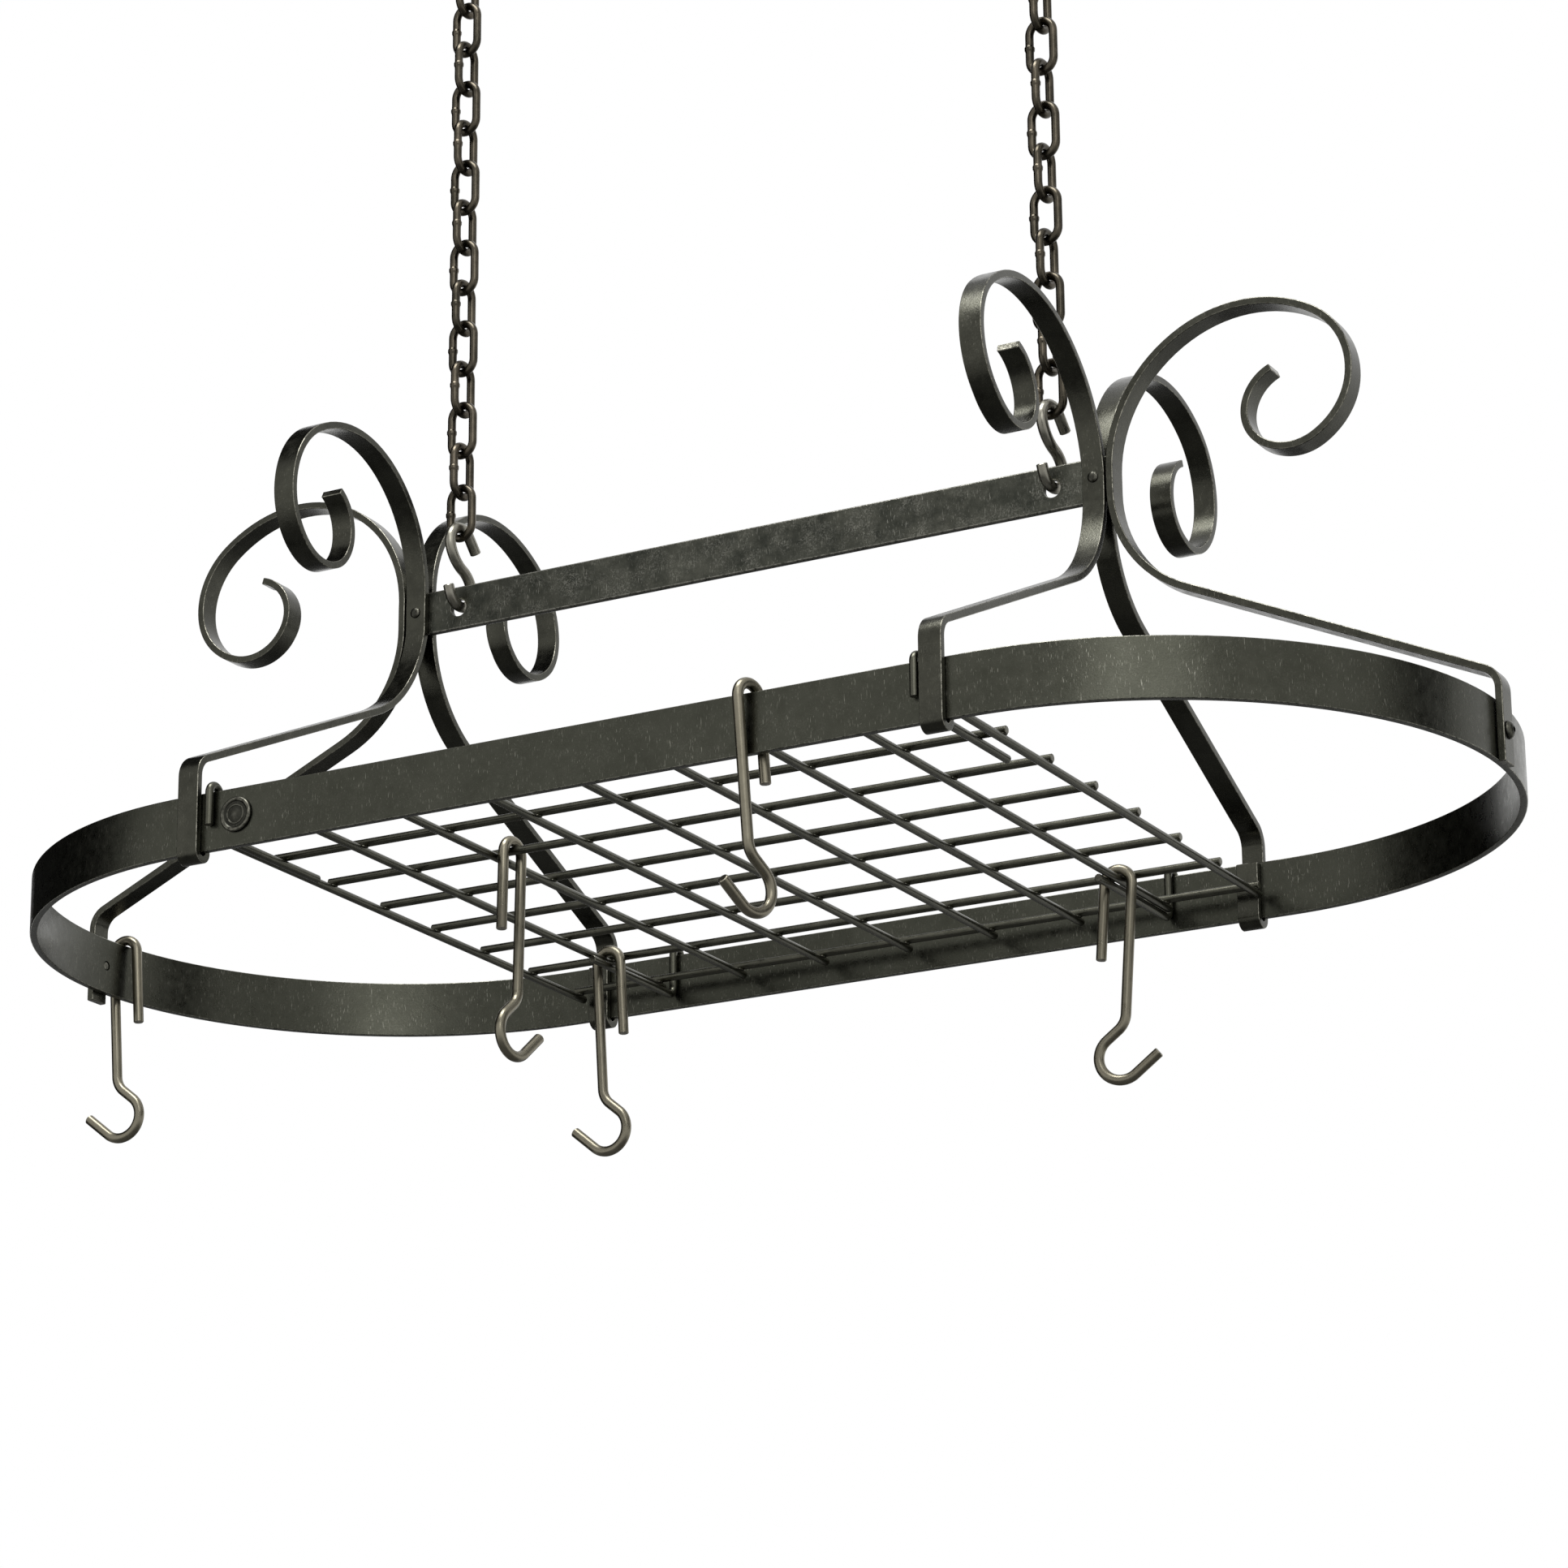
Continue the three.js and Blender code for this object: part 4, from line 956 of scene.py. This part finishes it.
# The weld collar on a link: height from the link's middle, and how much thicker the wire is
LINK_WELD = ((2.3, 0), (1.5, 0.12), (1.0, 0.42), (0.5, 0.55), (0, 0.42), (-0.5, 0.5),
             (-1.0, 0.36), (-1.5, 0.12), (-2.3, 0))
CEILING_HOOK_LOWEST = 583.308
CEILING_HOOK_DIAMETER = 6.0
CEILING_HOOK_RADIUS = 10.0
CEILING_HOOK_TIP = 20.0
CEILING_HOOK_TURN = -240
CEILING_HOOK_TURN_BACK = 60
CEILING_HOOK_SHANK = 7.0
PLATE_OVERLAP = 1.5
PLATE_THICKNESS = 3.0
PLATE_PROFILE = ((0, 0, 0), (9.5, 0, 0), (12.0, 0.1, 0.1), (12.75, 0.5, 0.8), (13.0, 1.1, 1),
                 (13.0, PLATE_THICKNESS, 0), (0, PLATE_THICKNESS, 0))
PLATE_SIDES = 48
THREAD_LENGTH = 35.0
THREAD_STEPS = 140
THREAD_SIDES = 24
THREAD_PITCH = 2.4
THREAD_DEPTH = 0.75
THREAD_CORE = 2.0
THREAD_TAPER = 8.0
THREAD_POINT = 0.25
THREAD_WEAR = 0.4


def make_s_hook(node, x, turn):
    """From the lower tip through the bar's hole, up the waist that swings back over the bar, to
    the upper tip."""
    flare = math.radians(S_HOOK_FLARE)
    radius, tip = S_HOOK_LOWER_RADIUS, S_HOOK_LOWER_TIP
    start_x = -radius * math.cos(flare) - tip * math.sin(flare)
    start_z = S_HOOK_LOWEST + radius * (1 - math.sin(flare)) + tip * math.cos(flare)
    bender = Bender(start_x, start_z, S_HOOK_FLARE - 90)
    bender.run(tip).bend(radius, S_HOOK_LOWER_TURN)
    for bend in (*S_HOOK_WAIST, S_HOOK_TOP):
        bender.bend(*bend)
    bender.run(S_HOOK_UPPER_TIP)
    shell = Shell()
    shell.sweep(bender.frames(), round_section(S_HOOK_DIAMETER, HOOK_SIDES), HOOK_CHAMFER)
    finish_piece(node, shell.mesh(node, turned(turn, x)), "s_hook_steel")


def link_frames():
    """A link's centre line from the middle of its lower end, and how its weld collar swells it."""
    frames, swell = [], []

    def add(x, z, angle, bulge=0.0):
        outwards = Vector((math.cos(angle), 0, math.sin(angle)))
        frames.append((Vector((x, 0, z)), Vector((0, 1, 0)), outwards))
        swell.append(bulge)

    def arc(centre, first, last):
        steps = round((last - first) / LINK_STEP)
        for k in range(steps + 1):
            angle = math.radians(first + (last - first) * k / steps)
            add(LINK_HALF_WIDTH * math.cos(angle), centre + LINK_HALF_WIDTH * math.sin(angle),
                angle)

    arc(LINK_HALF_WIDTH, -90, 0)
    arc(LINK_HEIGHT - LINK_HALF_WIDTH, 0, 180)
    for offset, bulge in LINK_WELD:
        add(-LINK_HALF_WIDTH, LINK_HEIGHT / 2 + offset, math.pi, bulge)
    arc(LINK_HALF_WIDTH, 180, 270 - LINK_STEP)
    return frames, swell


def make_chain(side, x):
    frames, swell = link_frames()
    for index in range(LINK_COUNT):
        node = f"link_{side}_{index + 1:02d}"
        shell = Shell()
        shell.sweep(frames, round_section(2 * LINK_WIRE_RADIUS), looped=True, swell=swell)
        placed = turned(LINK_TURN + 90 * (index % 2), x, 0, FIRST_LINK + index * LINK_PITCH)
        finish_piece(node, shell.mesh(node, placed), "chain_steel")


def thread_ring(height, base):
    """One ring of the ceiling screw: a core with the thread wound round it, tapered to its tip."""
    taper = min(1.0, (PLATE_THICKNESS + THREAD_LENGTH - height) / THREAD_TAPER)
    ring = []
    for k in range(THREAD_SIDES):
        phase = (height / THREAD_PITCH - k / THREAD_SIDES) % 1.0
        ridge = max(0.0, 1 - abs(phase - 0.5) * 4)
        reach = max(THREAD_POINT, (THREAD_CORE + THREAD_DEPTH * ridge) * taper)
        turn = 2 * math.pi * k / THREAD_SIDES
        ring.append(Vector((reach * math.cos(turn), reach * math.sin(turn), base + height)))
    return ring


def make_ceiling_hook(node, x):
    """A round hook below its plate, and the threaded screw above it."""
    radius, tip = CEILING_HOOK_RADIUS, CEILING_HOOK_TIP
    angle = math.radians(tip)
    start = CEILING_HOOK_LOWEST + radius * (1 + math.sin(angle))
    bender = Bender(radius * math.cos(angle), start, tip - 90)
    bender.bend(radius, CEILING_HOOK_TURN - tip).bend(radius, CEILING_HOOK_TURN_BACK)
    bender.run(CEILING_HOOK_SHANK)
    shell = Shell()
    shell.sweep(bender.frames(), round_section(CEILING_HOOK_DIAMETER, HOOK_SIDES), HOOK_CHAMFER)
    base = bender.z - PLATE_OVERLAP
    shell.lathe(PLATE_PROFILE, PLATE_SIDES, Matrix.Translation((0, 0, base)))
    rings = [thread_ring(PLATE_THICKNESS + THREAD_LENGTH * step / THREAD_STEPS, base)
             for step in range(THREAD_STEPS + 1)]
    shell.rings(rings, [[THREAD_WEAR] * THREAD_SIDES] * len(rings))
    finish_piece(node, shell.mesh(node, turned(0, x)), "chain_steel")


make_s_hook("s_hook_left", -BAR_HOLE_X, turn=84)
make_s_hook("s_hook_right", BAR_HOLE_X, turn=83)
make_chain("left", -BAR_HOLE_X)
make_chain("right", BAR_HOLE_X)
make_ceiling_hook("ceiling_hook_left", -BAR_HOLE_X)
make_ceiling_hook("ceiling_hook_right", BAR_HOLE_X)

# ---- Stage and light ---------------------------------------------------------------------------

# Lengths here are in metres.
RACK_CENTRE = Vector((0, 0, -0.5))
FLOOR_HEIGHT = -2.4
FLOOR_RADIUS = 9.0
FLOOR_FADE = (2.5, 8.5)
FLOOR_TONES = ((0.80, 0.80, 0.79), (0.84, 0.84, 0.83))
FLOOR_WHITE_SHARE = 0.5
FLOOR_SPECKLE = 6.0
CARD_MOTTLE = 4.0
CARD_TONE_SPREAD = (0.8, 1.2)
SOFT_STRENGTH = 0.45
WHITE_STRENGTH = 1.0


def mesh_from(name, build, **values):
    mesh = bpy.data.meshes.new(name)
    work = bmesh.new()
    build(work, **values)
    work.to_mesh(mesh)
    work.free()
    return mesh


def make_floor():
    """A pale floor a room's height below the ceiling, which fades into the white surround."""
    circle = {"cap_ends": True, "segments": 96, "radius": FLOOR_RADIUS}
    mesh = mesh_from("floor", bmesh.ops.create_circle, **circle)
    floor = add_object("floor", mesh)
    floor.location.z = FLOOR_HEIGHT
    nodes = Nodes(bpy.data.materials.new("pale_floor"))
    matt = nodes.add("ShaderNodeBsdfDiffuse")
    place = nodes.add("ShaderNodeTexCoord").outputs["Object"]
    speckle = nodes.between(nodes.noise(place, FLOOR_SPECKLE, detail=4.0), low=0.3, high=0.7)
    nodes.join(nodes.blend(speckle, *FLOOR_TONES), matt.inputs["Color"])
    white = nodes.add("ShaderNodeEmission")
    white.inputs["Strength"].default_value = WHITE_STRENGTH
    clear = nodes.add("ShaderNodeBsdfTransparent")
    camera_ray = nodes.add("ShaderNodeLightPath").outputs["Is Camera Ray"]
    seen = nodes.math("MULTIPLY", camera_ray, FLOOR_WHITE_SHARE)
    lit = nodes.mix_shaders(seen, matt.outputs["BSDF"], white.outputs["Emission"])
    distance = nodes.add("ShaderNodeVectorMath", operation="LENGTH")
    nodes.join(place, distance.inputs[0])
    fade = nodes.between(distance.outputs["Value"], *FLOOR_FADE)
    faded = nodes.mix_shaders(fade, lit, clear.outputs["BSDF"])
    mesh.materials.append(nodes.finish("ShaderNodeOutputMaterial", faded))


def make_world():
    """White for what the camera and the steel see, and a softer grey that lights the rest."""
    nodes = Nodes(bpy.data.worlds.new("white_surround"))
    path = nodes.add("ShaderNodeLightPath").outputs
    seen = nodes.math("ADD", path["Is Camera Ray"], path["Is Glossy Ray"])
    seen = nodes.math("ADD", seen, path["Is Transmission Ray"])
    lights = []
    for strength in (SOFT_STRENGTH, WHITE_STRENGTH):
        light = nodes.add("ShaderNodeBackground")
        light.inputs["Color"].default_value = (1, 1, 1, 1)
        light.inputs["Strength"].default_value = strength
        lights.append(light.outputs["Background"])
    surround = nodes.mix_shaders(seen, *lights)
    bpy.context.scene.world = nodes.finish("ShaderNodeOutputWorld", surround)


def face_rack(thing, azimuth, elevation, distance):
    """Sets a lamp or card facing the rack: azimuth 0 is the front and 90 the right, and
    elevation is above the horizon."""
    a, e = math.radians(azimuth), math.radians(elevation)
    towards = Vector((math.sin(a) * math.cos(e), -math.cos(a) * math.cos(e), math.sin(e)))
    thing.location = RACK_CENTRE + distance * towards
    thing.rotation_mode = "QUATERNION"
    thing.rotation_quaternion = towards.to_track_quat("Z", "Y")


def make_lamp(name, azimuth, elevation, distance, width, height, power):
    data = bpy.data.lights.new(name, "AREA")
    data.shape, data.size, data.size_y, data.energy = "RECTANGLE", width, height, power
    lamp = add_object(name, data)
    face_rack(lamp, azimuth, elevation, distance)
    lamp.visible_camera = False


def make_card(name, azimuth, elevation, distance, width, height, tone):
    """A dark or grey card beside the set for the steel to mirror. The camera doesn't see it, and
    it keeps no light from the rack."""
    grid = {"x_segments": 1, "y_segments": 1, "size": 0.5}
    mesh = mesh_from(name, bmesh.ops.create_grid, **grid)
    card = add_object(name, mesh)
    face_rack(card, azimuth, elevation, distance)
    card.scale = (width, height, 1)
    card.visible_camera = card.visible_diffuse = card.visible_shadow = False
    nodes = Nodes(bpy.data.materials.new(name))
    matt = nodes.add("ShaderNodeBsdfDiffuse")
    place = nodes.add("ShaderNodeTexCoord").outputs["Object"]
    tones = [(share * tone,) * 3 for share in CARD_TONE_SPREAD]
    mottle = nodes.noise(place, CARD_MOTTLE)
    nodes.join(nodes.blend(mottle, *tones), matt.inputs["Color"])
    mesh.materials.append(nodes.finish("ShaderNodeOutputMaterial", matt.outputs["BSDF"]))


make_floor()
make_world()
make_lamp("key", azimuth=30, elevation=24, distance=2.8, width=1.3, height=1.3, power=13)
make_lamp("overhead", azimuth=0, elevation=68, distance=2.4, width=1.5, height=1.0, power=60)
make_card("left_card", azimuth=-93, elevation=20, distance=2.6, width=3.4, height=5.6, tone=0.015)
make_card("right_card", azimuth=112, elevation=16, distance=2.6, width=0.9, height=1.9, tone=0.015)
make_card("low_card", azimuth=0, elevation=-90, distance=1.4, width=4.0, height=4.0, tone=0.22)
make_card("back_card", azimuth=208, elevation=-17, distance=1.5, width=1.4, height=0.8, tone=0.18)
